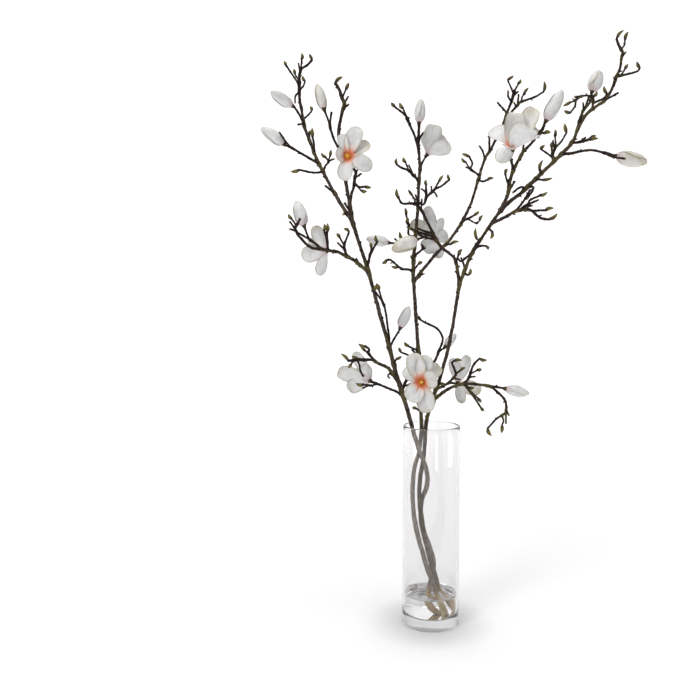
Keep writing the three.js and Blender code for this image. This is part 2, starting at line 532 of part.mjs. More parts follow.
// One tepal: a curved blade from the flower's heart to its tip, hollowed towards the flower's axis.
function tepal(seat, axis, [across, back, up, width], margin) {
  const reach = new THREE.Vector3(across, back, up);
  const length = reach.length();
  const outward = reach.clone().addScaledVector(axis, -reach.dot(axis)).normalize();
  const foot = seat.clone().addScaledVector(outward, 4.3).addScaledVector(axis, 3);
  const tip = seat.clone().add(reach);
  const first = foot.clone().addScaledVector(outward, 0.2 * length).addScaledVector(axis, 0.16 * length);
  const second = tip.clone().lerp(foot, 0.3).addScaledVector(axis, 0.14 * length);
  const midrib = new THREE.CubicBezierCurve3(foot, first, second, tip);
  const positions = [];
  const half = TEPAL_THICKNESS / 2 + margin;
  const columns = [-1, 0, 1];
  for (const side of [1, -1]) {
    for (let i = 0; i <= TEPAL_STEPS; i += 1) {
      const along = i / TEPAL_STEPS;
      const middle = midrib.getPoint(along);
      const tangent = midrib.getTangent(along);
      const inward = axis.clone().multiplyScalar(0.6).addScaledVector(outward, -0.8);
      inward.addScaledVector(tangent, -inward.dot(tangent)).normalize();
      const sideways = tangent.clone().cross(inward);
      for (const column of columns) {
        const spread = column * (bladeShare(along) * width * 0.5 + margin);
        const hollow = Math.abs(spread) * HOLLOW * (1 - 0.6 * along);
        const point = middle.clone().addScaledVector(sideways, spread);
        point.addScaledVector(inward, hollow + side * half);
        positions.push(point.x, point.y, point.z);
      }
    }
  }
  const sheet = (TEPAL_STEPS + 1) * 3;
  const triangles = [];
  const quad = (a, b, c, d) => triangles.push(a, c, b, a, d, c);
  for (let i = 0; i < TEPAL_STEPS; i += 1) {
    const row = i * 3;
    for (const k of [0, 1]) {
      const a = row + k;
      quad(a, a + 3, a + 4, a + 1);
      quad(sheet + a, sheet + a + 1, sheet + a + 4, sheet + a + 3);
    }
    quad(row, sheet + row, sheet + row + 3, row + 3);
    quad(row + 2, row + 5, sheet + row + 5, sheet + row + 2);
  }
  const end = TEPAL_STEPS * 3;
  for (const k of [0, 1]) {
    quad(k, k + 1, sheet + k + 1, sheet + k);
    quad(end + k, sheet + end + k, sheet + end + k + 1, end + k + 1);
  }
  return closedGeometry(positions, triangles);
}

// What is left of a body after its neighbours' clearance is cut away: the largest piece.
function clearOf(body, neighbours) {
  const left = neighbours.reduce((sum, other) => sum.subtract(other), body);
  const pieces = left.decompose();
  return pieces.sort((a, b) => b.volume() - a.volume())[0];
}

// ---------------------------------------------------------------- vase and water
function lathe(profile) {
  const geometry = new THREE.LatheGeometry(profile.map(([x, y]) => new THREE.Vector2(x, y)), ROUND_SEGMENTS);
  geometry.rotateX(Math.PI / 2);
  return geometry;
}

const INNER_RADIUS = VASE_RADIUS - VASE_WALL;
const FLOOR_ROUND = 5;
const vaseProfile = [[0, 0], [VASE_RADIUS - 2.5, 0], [VASE_RADIUS, 2.5], [VASE_RADIUS, VASE_HEIGHT - 1.5],
  [VASE_RADIUS - 1.5, VASE_HEIGHT], [INNER_RADIUS + 1, VASE_HEIGHT], [INNER_RADIUS, VASE_HEIGHT - 1],
  [INNER_RADIUS, VASE_FLOOR + FLOOR_ROUND], [INNER_RADIUS - FLOOR_ROUND, VASE_FLOOR], [0, VASE_FLOOR]];
const waterProfile = [[0, VASE_FLOOR + GAP], [INNER_RADIUS - FLOOR_ROUND - GAP, VASE_FLOOR + GAP],
  [INNER_RADIUS - GAP, VASE_FLOOR + FLOOR_ROUND + GAP], [INNER_RADIUS - GAP, WATER_LEVEL], [0, WATER_LEVEL]];

// ---------------------------------------------------------------- the whole
const vaseBunch = new THREE.Group();

function addPiece(name, geometry, look) {
  const piece = new THREE.Mesh(geometry, new THREE.MeshStandardMaterial(look));
  piece.name = name;
  vaseBunch.add(piece);
}

const GLASS = { color: 0xdfe4e4, roughness: 0.05, metalness: 0 };
const WATER = { color: 0xe6ecec, roughness: 0.02, metalness: 0 };
const BARK = { color: 0x4a3630, roughness: 0.8, metalness: 0 };
const PETAL = { color: 0xf3eff0, roughness: 0.55, metalness: 0 };

const branches = { left: leftBranch, middle: middleBranch, right: rightBranch };
const clearances = Object.values(branches).map((branch) => growBranch(branch, GAP).body);
const blooms = [];

addPiece('vase', lathe(vaseProfile), GLASS);
addPiece('water', geometryOf(clearOf(bodyOf(lathe(waterProfile)), clearances)), WATER);
for (const [name, branch] of Object.entries(branches)) {
  const grown = growBranch(branch, 0);
  addPiece(`branch_${name}`, geometryOf(grown.body), BARK);
  blooms.push(...grown.blooms);
}
for (const bloom of blooms.filter(({ kind }) => kind === 'bud')) {
  const body = clearOf(bodyOf(flowerBud(bloom)), clearances);
  addPiece(`bud_${bloom.name}`, geometryOf(body), PETAL);
}
const taken = [...clearances];
for (const { name, seat, axis } of blooms.filter(({ kind }) => kind === 'flower')) {
  TEPALS[name].forEach((shape, i) => {
    const body = clearOf(bodyOf(tepal(seat, axis, shape, 0)), taken);
    taken.push(bodyOf(tepal(seat, axis, shape, GAP)));
    addPiece(`flower_${name}_tepal_${i + 1}`, geometryOf(body), PETAL);
  });
}

export default vaseBunch;
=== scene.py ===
"""How three cut magnolia branches in bud and flower look, standing in a clear cylinder vase.

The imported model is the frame: metres, +Z up, -Y the front, the origin in the middle of the vase's underside.
Shapes are worked out in millimetres and scaled to metres as they go into their meshes.
"""
import math

import bpy
import numpy as np
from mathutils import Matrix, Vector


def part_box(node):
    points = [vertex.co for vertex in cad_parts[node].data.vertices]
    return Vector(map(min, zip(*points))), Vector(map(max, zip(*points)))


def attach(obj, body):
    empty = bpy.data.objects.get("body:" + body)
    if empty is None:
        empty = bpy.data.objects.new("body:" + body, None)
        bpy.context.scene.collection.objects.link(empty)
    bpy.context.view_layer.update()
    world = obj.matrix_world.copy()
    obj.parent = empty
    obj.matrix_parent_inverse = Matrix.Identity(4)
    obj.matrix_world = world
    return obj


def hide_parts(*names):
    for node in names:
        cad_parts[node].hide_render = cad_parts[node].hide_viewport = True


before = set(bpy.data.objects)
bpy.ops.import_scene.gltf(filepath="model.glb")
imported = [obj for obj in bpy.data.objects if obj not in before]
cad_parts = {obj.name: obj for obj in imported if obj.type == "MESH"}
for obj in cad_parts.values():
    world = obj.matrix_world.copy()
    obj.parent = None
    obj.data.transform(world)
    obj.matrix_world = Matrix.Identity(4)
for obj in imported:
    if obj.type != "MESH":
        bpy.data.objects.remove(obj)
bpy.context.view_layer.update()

# ---------------------------------------------------------------- vase
# A tall straight cylinder of clear pressed glass, cast in one piece with a heavy base, a rounded rim and
# a softly rounded inside corner. It stands on a ring round its slightly raised underside.
MM = 0.001
vase_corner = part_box("vase")[1]
VASE_RADIUS = vase_corner.x / MM
VASE_HEIGHT = vase_corner.z / MM
VASE_WALL = 4.5
VASE_FLOOR = 22.0
INNER_RADIUS = VASE_RADIUS - VASE_WALL
RIM_ROUND = VASE_WALL / 2
FOOT_ROUND = 3
FLOOR_ROUND = 6
WALL_STEPS = 20
ROUND_STEPS = 180
RAISED_UNDERSIDE = [[3, 1.1], [18, 1.0], [34, 0.7], [45, 0.3], [49, 0.0]]
DISHED_FLOOR = np.array([[3, -1.0], [20, -0.8], [38, -0.3]]) + [0, VASE_FLOOR]


def closed_skin(rings, **marks):
    """A closed skin over rings of points, given as an array (rings, points round, 3).

    Squares join each ring to the next and triangles join each end ring to a point in its middle. If the
    volume inside comes out negative, every face is turned over, so that all of them face outwards.
    marks are values for the ring points, spread over them as numpy does; an end point takes the mean of
    its ring.
    """
    count, around = rings.shape[:2]
    points = np.vstack([rings.reshape(-1, 3), rings[0].mean(0), rings[-1].mean(0)])
    row, turn = np.meshgrid(np.arange(count - 1) * around, np.arange(around), indexing="ij")
    after = (turn + 1) % around
    squares = np.stack([row + turn, row + after, row + around + after, row + around + turn], -1)
    squares = squares.reshape(-1, 4)
    here, there = np.arange(around), (np.arange(around) + 1) % around
    first, last, top = count * around, count * around + 1, (count - 1) * around
    near_end = np.stack([np.full(around, first), there, here], -1)
    far_end = np.stack([np.full(around, last), top + here, top + there], -1)
    fans = np.vstack([near_end, far_end])
    thirds = points[np.vstack([squares[:, [0, 1, 2]], squares[:, [0, 2, 3]], fans])]
    if np.einsum("ij,ij->i", thirds[:, 0], np.cross(thirds[:, 1], thirds[:, 2])).sum() < 0:
        squares, fans = squares[:, ::-1], fans[:, ::-1]
    values = {}
    for mark, value in marks.items():
        value = np.broadcast_to(value, rings.shape[:2] + np.shape(value)[2:])
        flat = value.reshape((count * around,) + value.shape[2:])
        values[mark] = np.concatenate([flat, value[0].mean(0)[None], value[-1].mean(0)[None]])
    return {"points": points, "squares": squares, "fans": fans, "marks": values}


def make_piece(name, skins, finish, slot, *cad_nodes):
    """One smooth-shaded mesh from closed skins, standing for its CAD nodes and riding with the whole part.

    The skins' points are strung together and scaled to metres, and their marks become mesh attributes.
    """
    starts = np.cumsum([0] + [len(skin["points"]) for skin in skins[:-1]])
    points = np.vstack([skin["points"] for skin in skins]) * MM
    squares = np.vstack([skin["squares"] + start for skin, start in zip(skins, starts)])
    fans = np.vstack([skin["fans"] + start for skin, start in zip(skins, starts)])
    corners = np.concatenate([squares.ravel(), fans.ravel()])
    sizes = np.concatenate([np.full(len(squares), 4), np.full(len(fans), 3)])
    mesh = bpy.data.meshes.new(name)
    mesh.vertices.add(len(points))
    mesh.vertices.foreach_set("co", points.ravel())
    mesh.loops.add(len(corners))
    mesh.loops.foreach_set("vertex_index", corners)
    mesh.polygons.add(len(sizes))
    mesh.polygons.foreach_set("loop_start", np.cumsum(sizes) - sizes)
    mesh.polygons.foreach_set("use_smooth", np.ones(len(sizes), bool))
    for mark in skins[0]["marks"]:
        values = np.concatenate([skin["marks"][mark] for skin in skins])
        kind, field = ("FLOAT", "value") if values.ndim == 1 else ("FLOAT_VECTOR", "vector")
        mesh.attributes.new(mark, kind, "POINT").data.foreach_set(field, values.ravel().astype(np.float32))
    mesh.update(calc_edges=True)
    mesh.materials.append(finish)
    piece = bpy.data.objects.new(name, mesh)
    bpy.context.scene.collection.objects.link(piece)
    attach(piece, "root")
    if cad_nodes:
        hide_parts(*cad_nodes)
    return piece


def arc(middle, radius, start, end, steps):
    """Points (distance from the axis, height) on a circle round a middle, between two angles in degrees."""
    angles = np.radians(np.linspace(start, end, steps))
    return np.stack([middle[0] + radius * np.cos(angles), middle[1] + radius * np.sin(angles)], -1)


def upright(radius, start, end):
    """Points (distance from the axis, height) evenly up or down a straight wall, between two heights."""
    return np.stack([np.full(WALL_STEPS, radius), np.linspace(start, end, WALL_STEPS)], -1)


def full_turn(steps):
    """Angles evenly round a circle."""
    return np.linspace(0, 2 * np.pi, steps, endpoint=False)


def turned(profile):
    """A profile of (distance from the axis, height) turned once round the Z axis, as rings of points."""
    angles = full_turn(ROUND_STEPS)
    ways = np.stack([np.cos(angles), np.sin(angles), np.zeros(ROUND_STEPS)], -1)
    return profile[:, 0, None, None] * ways + profile[:, 1, None, None] * np.array([0, 0, 1])


def start_finish(name, **sockets):
    """A new material with its sockets set by name, as four things: the material, its main shader, a tool
    that sets or links a node's inputs, and a tool that adds a node and does the same."""
    material = bpy.data.materials.new(name)
    material.use_nodes = True
    tree = material.node_tree
    shader = tree.nodes["Principled BSDF"]

    def wire(node, inputs):
        for socket, value in inputs.items():
            if isinstance(value, bpy.types.NodeSocket):
                tree.links.new(value, node.inputs[socket])
            else:
                node.inputs[socket].default_value = value
        return node

    def add(kind, inputs=(), **options):
        node = tree.nodes.new("ShaderNode" + kind)
        for option, value in options.items():
            setattr(node, option, value)
        return wire(node, dict(inputs))

    wire(shader, {socket.replace("_", " "): value for socket, value in sockets.items()})
    return material, shader, wire, add


def fade(add, value, start, end, low=0.0, high=1.0):
    """A value that goes smoothly from low at start to high at end, and stays level outside them."""
    inputs = {"Value": value, "From Min": start, "From Max": end, "To Min": low, "To Max": high}
    return add("MapRange", inputs, interpolation_type="SMOOTHSTEP").outputs["Result"]


def stretched_noise(add, place, stretch, scale, detail=3.0, rough=0.55):
    """Cloudy noise over a place that is first scaled by stretch along its three ways."""
    laid = add("Mapping", {"Vector": place, "Scale": stretch}).outputs[0]
    return add("TexNoise", {"Vector": laid, "Scale": scale, "Detail": detail, "Roughness": rough}).outputs[0]


def raised(add, pattern, strength, depth):
    """The way a surface faces where a pattern from 0 to 1 stands up from it by a depth in metres."""
    return add("Bump", {"Height": pattern, "Strength": strength, "Distance": depth}).outputs[0]


def let_light_through(finish, shader, wire, add, share, **volume):
    """Lamps shine through a clear material, dimmed to a share at each face, as they do through real glass.

    Without this, whatever stands behind it would be in full shade. volume tints what passes inside.
    """
    lamp_ray = add("LightPath").outputs["Is Shadow Ray"]
    open_way = add("BsdfTransparent", {"Color": (share, share, share, 1)}).outputs[0]
    outlet = finish.node_tree.nodes["Material Output"]
    wire(outlet, {"Surface": add("MixShader", {0: lamp_ray, 1: shader.outputs[0], 2: open_way}).outputs[0]})
    if volume:
        wire(outlet, {"Volume": add("VolumeAbsorption", volume).outputs[0]})


vase_profile = np.vstack([
    RAISED_UNDERSIDE,
    arc((VASE_RADIUS - FOOT_ROUND, FOOT_ROUND), FOOT_ROUND, -90, 0, 7),
    upright(VASE_RADIUS, 12, VASE_HEIGHT - 12),
    arc((VASE_RADIUS - RIM_ROUND, VASE_HEIGHT - RIM_ROUND), RIM_ROUND, 0, 180, 13),
    upright(INNER_RADIUS, VASE_HEIGHT - 12, VASE_FLOOR + 14),
    arc((INNER_RADIUS - FLOOR_ROUND, VASE_FLOOR + FLOOR_ROUND), FLOOR_ROUND, 0, -90, 9),
    DISHED_FLOOR[::-1],
])
glass, shader, wire, add = start_finish(
    "clear glass", Base_Color=(0.92, 0.912, 0.915, 1), IOR=1.47, Transmission_Weight=1.0)
place = add("TexCoord").outputs["Object"]
# Faint smears dull it in places, and slow ripples in its faces bend what they reflect.
smears = stretched_noise(add, place, (1, 1, 0.35), 9.0, 4.0)
ripple = stretched_noise(add, place, (1, 1, 0.25), 14.0, 1.0)
wire(shader, {
    "Roughness": fade(add, smears, 0.55, 0.8, 0.0, 0.05),
    "Normal": raised(add, ripple, 0.1, 0.0008),
})
let_light_through(glass, shader, wire, add, 0.62, Color=(0.3, 0.32, 0.34, 1), Density=5.5)
make_piece("glass_vase", [closed_skin(turned(vase_profile))], glass, "clear_glass", "vase")

# ---------------------------------------------------------------- water
# Clear tap water, about 40 mm deep over the vase's floor, poured in last. It wets the glass, so its
# surface curves up to a thin edge against the wall.
WATER_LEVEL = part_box("water")[1].z / MM
WATER_GAP = 0.06
WET_RADIUS = INNER_RADIUS - WATER_GAP
WET_ROUND = 2.2
water_profile = np.vstack([
    DISHED_FLOOR + [0, WATER_GAP],
    arc((INNER_RADIUS - FLOOR_ROUND, VASE_FLOOR + FLOOR_ROUND), FLOOR_ROUND - WATER_GAP, -90, 0, 9),
    [[WET_RADIUS, WATER_LEVEL - 4], [WET_RADIUS, WATER_LEVEL + 1.6]],
    arc((WET_RADIUS - WET_ROUND, WATER_LEVEL + WET_ROUND), WET_ROUND, -8, -90, 8),
    [[WET_RADIUS - 8, WATER_LEVEL], [20, WATER_LEVEL], [3, WATER_LEVEL]],
])
water, shader, wire, add = start_finish(
    "still water", Base_Color=(0.985, 0.99, 0.988, 1), IOR=1.333, Transmission_Weight=1.0)
place = add("TexCoord").outputs["Object"]
# Its surface swells a very little and carries specks of dust.
swell = stretched_noise(add, place, (1, 1, 0.2), 30.0, 2.0)
specks = stretched_noise(add, place, (1, 1, 1), 500.0, 2.0)
wire(shader, {
    "Roughness": fade(add, specks, 0.7, 0.85, 0.0, 0.08),
    "Normal": raised(add, swell, 0.12, 0.0006),
})
let_light_through(water, shader, wire, add, 0.95)
make_piece("still_water", [closed_skin(turned(water_profile))], water, "water", "water")

# ---------------------------------------------------------------- left branch
# A cut branch of living wood, its dark bark knobbed at every joint and carrying moss where it is old. The
# foot is cut level and stands on the glass. Its leaf buds and flower buds grew on it and are shown below.
TWIG_RADIUS = 1.9
TAPER = 0.8
RING_SPACING = 2.2
SCAR_GAPS = (9, 24)
SPUR_GAPS = (11, 34)
KNUCKLE = 0.36
SCAR_RING = 0.26
ROOT_FLARE = 0.45
SWAY = 0.16
SWAY_FREE_END = 12
PALE_FADE = 25
FOOT_LEVEL = VASE_FLOOR + 0.3
COLLAR_LENGTH = 3.3
PATTERN_LENGTH = 900
# The rings past a limb's tip: how far on, how thick against the tip, and 1 where the wood is bare.
ENDINGS = {
    "cut": [(0.0, 1.02, 1), (0.2, 0.9, 1)],
    "leaf": [(0.8, 1.35, 0), (2.4, 1.5, 0), (4.0, 0.9, 0)],
    "bud": [(1.0, 1.5, 0), (3.0, 1.3, 0)],
    "flower": [(1.0, 1.5, 0), (3.0, 1.3, 0)],
}
# A collar's rings: height on the bud's axis, radius, and how far the scales' wavy edge moves them.
COLLAR = np.array([[-6.0, 1.6, 0], [-4.6, 2.5, 0], [-2.4, 3.1, 0.1], [-0.4, 3.7, 0.3], [1.2, 4.5, 0.7],
                   [2.8, 5.1, 1.0], [3.2, 5.0, 1.0], [2.4, 4.1, 0.8], [0.8, 2.8, 0.3]])
draw = np.random.default_rng(11)


def limb(share, radius, points, end, twigs=()):
    """A limb that leaves its parent at a share of the parent's length, with points counted from there."""
    return {"share": share, "radius": radius, "points": points, "end": end, "twigs": twigs}


def leaf(across, up):
    """A limb's end in a leaf bud that reaches so far across and up."""
    return {"kind": "leaf", "reach": np.array([across, 0, up], float)}


def bud(name, width, reach):
    """A limb's end in a closed flower bud, so wide, whose tip reaches so far."""
    return {"kind": "bud", "name": name, "width": width, "reach": np.array(reach, float)}


def flower(name, axis):
    """A limb's end in an open flower that faces along an axis."""
    return {"kind": "flower", "name": name, "axis": np.array(axis, float) / np.linalg.norm(axis)}


CUT = {"kind": "cut"}


def at_distance(limb_found, distances):
    """Points on a limb's straight-sided line at distances from its root."""
    reach, corners = limb_found["reach"], limb_found["corners"]
    return np.stack([np.interp(distances, reach, corners[:, axis]) for axis in range(3)], -1)


def follow(part, parent=None):
    """A limb and all its twigs as a list, each with its corners, distances from the root and thicknesses.

    A twig's root lies at its share of its parent's straight-sided line. Thickness falls evenly from corner
    to corner, four fifths of the way to a thin twig's. Each limb notes where its own twigs leave it.
    """
    corners = np.array(part["points"], float)
    parent_radius = 0.0
    if parent:
        spot = part["share"] * parent["reach"][-1]
        root = at_distance(parent, spot)
        corners = np.vstack([root, corners + root])
        parent["joints"].append(spot)
        parent_radius = float(np.interp(spot, parent["reach"], parent["radii"]))
    reach = np.concatenate([[0], np.cumsum(np.linalg.norm(np.diff(corners, axis=0), axis=1))])
    thin = min(part["radius"], TWIG_RADIUS)
    radii = part["radius"] + (thin - part["radius"]) * TAPER * np.linspace(0, 1, len(corners))
    found = {"corners": corners, "reach": reach, "radii": radii, "joints": [], "end": part["end"],
             "parent_radius": parent_radius, "radius": part["radius"]}
    limbs = [found]
    for twig in part["twigs"]:
        limbs += follow(twig, found)
    return limbs


def smooth_through(knots, points, distances):
    """A smooth curve through points at knots, read off at distances: a cubic between each two of them whose
    slope at a point is the slope from the point before it to the point after it."""
    slopes = np.empty_like(points)
    slopes[1:-1] = (points[2:] - points[:-2]) / (knots[2:] - knots[:-2])[:, None]
    slopes[0] = (points[1] - points[0]) / (knots[1] - knots[0])
    slopes[-1] = (points[-1] - points[-2]) / (knots[-1] - knots[-2])
    here = np.clip(np.searchsorted(knots, distances, side="right") - 1, 0, len(knots) - 2)
    span = (knots[here + 1] - knots[here])[:, None]
    t = (distances - knots[here])[:, None] / span
    return ((2 * t**3 - 3 * t**2 + 1) * points[here] + (t**3 - 2 * t**2 + t) * span * slopes[here]
            + (3 * t**2 - 2 * t**3) * points[here + 1] + (t**3 - t**2) * span * slopes[here + 1])


def frames_along(middle):
    """At each point of a line, its direction and two ways square to it and to each other.

    The first square way starts from the way that the whole line keeps furthest from, so it never flips.
    """
    along = np.gradient(middle, axis=0)
    along /= np.linalg.norm(along, axis=1)[:, None]
    guide = np.linalg.eigh(along.T @ along)[1][:, 0]
    across = guide - (along @ guide)[:, None] * along
    across /= np.linalg.norm(across, axis=1)[:, None]
    return along, across, np.cross(along, across)


def square_ways(foot, axis):
    """Two ways square to each other and to an axis that leaves a foot."""
    across, over = frames_along(np.stack([foot, foot + axis]))[1:]
    return across[0], over[0]


def spokes(turn, across, over):
    """Ways of length one round an axis: the cosine of each angle across it and the sine of it over."""
    return np.cos(turn)[..., None] * across + np.sin(turn)[..., None] * over


def unit(way):
    """A way scaled to length one."""
    return way / np.linalg.norm(way)


def hump(distances, spots, width):
    """A bump of height 1 round each spot, falling off as a bell over the width, the highest one counting."""
    if not len(spots):
        return np.zeros_like(distances)
    return np.exp(-((distances[:, None] - np.array(spots)) / width) ** 2).max(1)


def ring_count(radius):
    """How many points go round a limb: more on stems than on twigs."""
    return 16 if radius > 3.0 else 10


def straightened(radius, turn, height):
    """Where the skin would lie if its limb were straight and upright, for the bark's grain to follow."""
    return np.stack(np.broadcast_arrays(radius * np.cos(turn), radius * np.sin(turn), height), -1)


def bark_skin(found, painted_pale_below):
    """The bark over one limb: a tube along a smooth line through its corners and its twigs' roots.

    Its thickness follows the limb's, plus a bell-shaped knuckle at each twig, narrow rings at old leaf
    scars, a flare at its own root, and waves round and along it. The line is nudged sideways at each scar.
    Scars, waves and nudges are weaker on thick limbs, and the stem inside the vase is the smoothest.
    """
    reach, joints, parent_radius = found["reach"], found["joints"], found["parent_radius"]
    length = reach[-1]
    apart = [spot for spot in joints if np.abs(reach - spot).min() > 3]
    knots = np.unique(np.concatenate([reach, apart]))
    knots = knots[np.concatenate([[True], np.diff(knots) > 1.5])]
    knots[-1] = length
    distances = np.linspace(0, length, max(int(length / RING_SPACING), 5) + 1)
    middle = smooth_through(knots, at_distance(found, knots), distances)
    along, across, over = frames_along(middle)
    base = np.interp(distances, reach, found["radii"])
    uneven = np.interp(base, [2.0, 4.0], [0.9, 0.35])

    scars = np.cumsum(draw.uniform(*SCAR_GAPS, int(length / SCAR_GAPS[0]) + 1)) + parent_radius
    nudge = draw.normal(0, 1, (len(scars), 2))
    sway = np.stack([np.interp(distances, scars, nudge[:, way]) for way in range(2)], -1)
    sway = sway * (SWAY * uneven * base)[:, None]
    settle = np.clip(distances / SWAY_FREE_END, 0, 1) * np.clip((length - distances) / SWAY_FREE_END, 0, 1)
    middle = middle + settle[:, None] * (sway[:, :1] * across + sway[:, 1:] * over)

    in_vase = (middle[:, 2] < VASE_HEIGHT) & (parent_radius == 0)
    knobs = (KNUCKLE * hump(distances, joints, 2.5 + base.mean() * 1.2)
             + SCAR_RING * uneven * hump(distances, scars, 1.7))
    knobs = np.where(in_vase, 0.15 * knobs, knobs)
    flare = ROOT_FLARE * np.exp(-np.clip(distances - parent_radius, 0, None) / 3.0)
    radius = base * (1 + knobs + (flare if parent_radius else 0))
    turn = full_turn(ring_count(found["radius"]))
    phase = draw.uniform(0, 2 * np.pi, 3)
    climb = distances[:, None]
    wave = (0.07 * np.cos(2 * turn + phase[0] + climb * 0.07)
            + 0.05 * np.cos(3 * turn + phase[1] - climb * 0.21)
            + 0.05 * np.sin(turn + phase[2] + climb * 0.55))
    wave_share = np.where(in_vase, 0.6, 0.5 + 0.5 * uneven)
    waved = radius[:, None] * (1 + wave_share[:, None] * wave)
    ways = spokes(turn, across[:, None], over[:, None])
    rings = middle[:, None] + waved[..., None] * ways

    end = found["end"]
    forward, size, bare = np.array(ENDINGS[end["kind"]]).T
    forward_way = along[-1] if end["kind"] == "cut" else unit(end.get("reach", end.get("axis")))
    caps = middle[-1] + forward[:, None, None] * forward_way + (radius[-1] * size)[:, None, None] * ways[-1]
    rings = np.vstack([rings, caps])
    rings[..., 2] = np.maximum(rings[..., 2], FOOT_LEVEL)

    no_caps = np.zeros(len(forward))
    lengthwise = np.concatenate([distances, length + forward])
    girth = np.concatenate([base, np.full(len(forward), base[-1])])[:, None]
    old = np.concatenate([hump(distances, joints, 9 + base.mean() * 2), no_caps])
    knot = np.concatenate([np.clip(knobs / KNUCKLE, 0, 1), no_caps])
    wood = np.concatenate([np.zeros(len(distances)), bare])
    # Below that height the main stem is marked to be painted pale: painted light on the stem seen through the
    # glass.
    pale = np.clip((painted_pale_below - rings[..., 2]) / PALE_FADE, 0, 1) * (parent_radius == 0)
    straight = straightened(girth, turn, lengthwise[:, None] + draw.uniform(0, PATTERN_LENGTH))
    return closed_skin(rings, straight=straight, girth=girth, old=old[:, None], knot=knot[:, None],
                       wood=wood[:, None], pale=pale, scale=0.0)


def spur_skins(found):
    """Short stubs along a limb, where side shoots and old buds broke off.

    Each is a small blunt cone that leaves the limb's middle line sideways and a little forwards, swollen
    where it comes out of the bark.
    """
    length = found["reach"][-1]
    spots = np.cumsum(draw.uniform(*SPUR_GAPS, int(length / SPUR_GAPS[0]) + 1)) + found["parent_radius"]
    spots = spots[(spots < length - 7) & (at_distance(found, spots)[:, 2] > VASE_HEIGHT)]
    turn = full_turn(7)
    skins = []
    for spot in spots:
        root = at_distance(found, spot)
        along = unit(at_distance(found, spot + 2) - root)
        way = unit(unit(np.cross(along, draw.normal(0, 1, 3))) + draw.uniform(0.3, 1.1) * along)
        girth = float(np.interp(spot, found["reach"], found["radii"]))
        thick = np.clip(0.55 * girth, 0.9, 1.7)
        stub = draw.uniform(1.4, 4.6)
        steps = np.array([0.3 * girth, girth, girth + 0.35 * stub, girth + 0.8 * stub, girth + stub])
        radius = thick * np.array([1.7, 1.45, 1.0, 0.95, 0.5])
        ways = spokes(turn, *square_ways(root, way))
        rings = root + steps[:, None, None] * way + radius[:, None, None] * ways
        straight = straightened(thick, turn, steps[:, None] + spot)
        skins.append(closed_skin(rings, straight=straight, girth=thick, old=0.2, knot=0.6,
                                 wood=0.0, pale=0.0, scale=0.0))
    return skins


def seat_of(found):
    """Where a limb's bud or flower sits and the way it points: past the collar for a bud, at the tip for
    a flower."""
    end, tip = found["end"], found["corners"][-1]
    if end["kind"] == "bud":
        axis = unit(end["reach"])
        return tip + COLLAR_LENGTH * axis, axis
    return tip, end["axis"]


def collar_skin(found):
    """The cup of dry scales under a bud or a flower: a profile turned round the bud's axis, widening from the
    twig to its rim, whose edge rises and falls three times round, then folding in under the petals."""
    seat, axis = seat_of(found)
    climb, radius, move = COLLAR[:, :1], COLLAR[:, 1:2], COLLAR[:, 2:]
    turn = full_turn(18)
    edge = np.abs(np.cos(1.5 * (turn + draw.uniform(0, 6)))) ** 1.5
    height = climb + 1.6 * move * (edge - 0.4)
    radius = radius * (1 + 0.05 * np.cos(3 * turn + 1) * move)
    rings = seat + height[..., None] * axis + radius[..., None] * spokes(turn, *square_ways(seat, axis))
    straight = straightened(radius, turn, height + draw.uniform(0, PATTERN_LENGTH))
    return closed_skin(rings, straight=straight, girth=2.5, old=0.3, knot=0.0,
                       wood=0.0, pale=0.0, scale=np.clip(climb / 4 + 0.9, 0, 1))


def ending_in(limbs, *kinds):
    """The limbs whose ends are of some kinds."""
    return [found for found in limbs if found["end"]["kind"] in kinds]


def show_branch(name, trunk, cad_node, painted_pale_below):
    """A whole branch as one piece: its limbs' bark, stubs on it, and collars under its buds and flowers.

    Below a height inside the vase its stem is painted pale: painted light on the stem seen through the glass.
    """
    limbs = follow(trunk)
    skins = [bark_skin(found, painted_pale_below) for found in limbs]
    skins += [skin for found in limbs for skin in spur_skins(found)]
    skins += [collar_skin(found) for found in ending_in(limbs, "bud", "flower")]
    make_piece(name, skins, bark, "bark", cad_node)
    return limbs


def read_mark(add, mark, output="Fac"):
    """A mark that the skins carry, as a number, or as three with the output Vector."""
    return add("Attribute", attribute_name=mark).outputs[output]


def reckon(add, operation, first, second=0.0):
    """A number worked out from two others, or from the first alone, by an operation."""
    return add("Math", {0: first, 1: second}, operation=operation).outputs[0]


def times(add, first, second):
    """Two numbers multiplied."""
    return reckon(add, "MULTIPLY", first, second)


def plus(add, first, second):
    """Two numbers added."""
    return reckon(add, "ADD", first, second)


def mixed(add, share, first, second):
    """The first colour turning into the second as the share goes from 0 to 1."""
    return add("Mix", {0: share, 6: first, 7: second}, data_type="RGBA").outputs[2]


BLACK_TWIG, BROWN_TWIG = (0.005, 0.0025, 0.002, 1), (0.04, 0.021, 0.015, 1)
DARK_BARK, GREY_BARK = (0.012, 0.007, 0.005, 1), (0.15, 0.108, 0.088, 1)
PALE_DOT, DARK_KNOT = (0.16, 0.12, 0.095, 1), (0.012, 0.006, 0.005, 1)
DEEP_MOSS, LIGHT_MOSS = (0.030, 0.023, 0.008, 1), (0.19, 0.155, 0.062, 1)
DARK_STEM_PAINTED_LIGHT, PALE_STEM_PAINTED_LIGHT = (0.07, 0.056, 0.042, 1), (0.41, 0.345, 0.29, 1)
TAN_FOOT_PAINTED_LIGHT, CREAM_FOOT_PAINTED_LIGHT = (0.46, 0.31, 0.14, 1), (0.94, 0.76, 0.46, 1)
DARK_SCALE, OLIVE_SCALE = (0.035, 0.024, 0.012, 1), (0.12, 0.10, 0.035, 1)
CUT_WOOD = (0.36, 0.27, 0.17, 1)
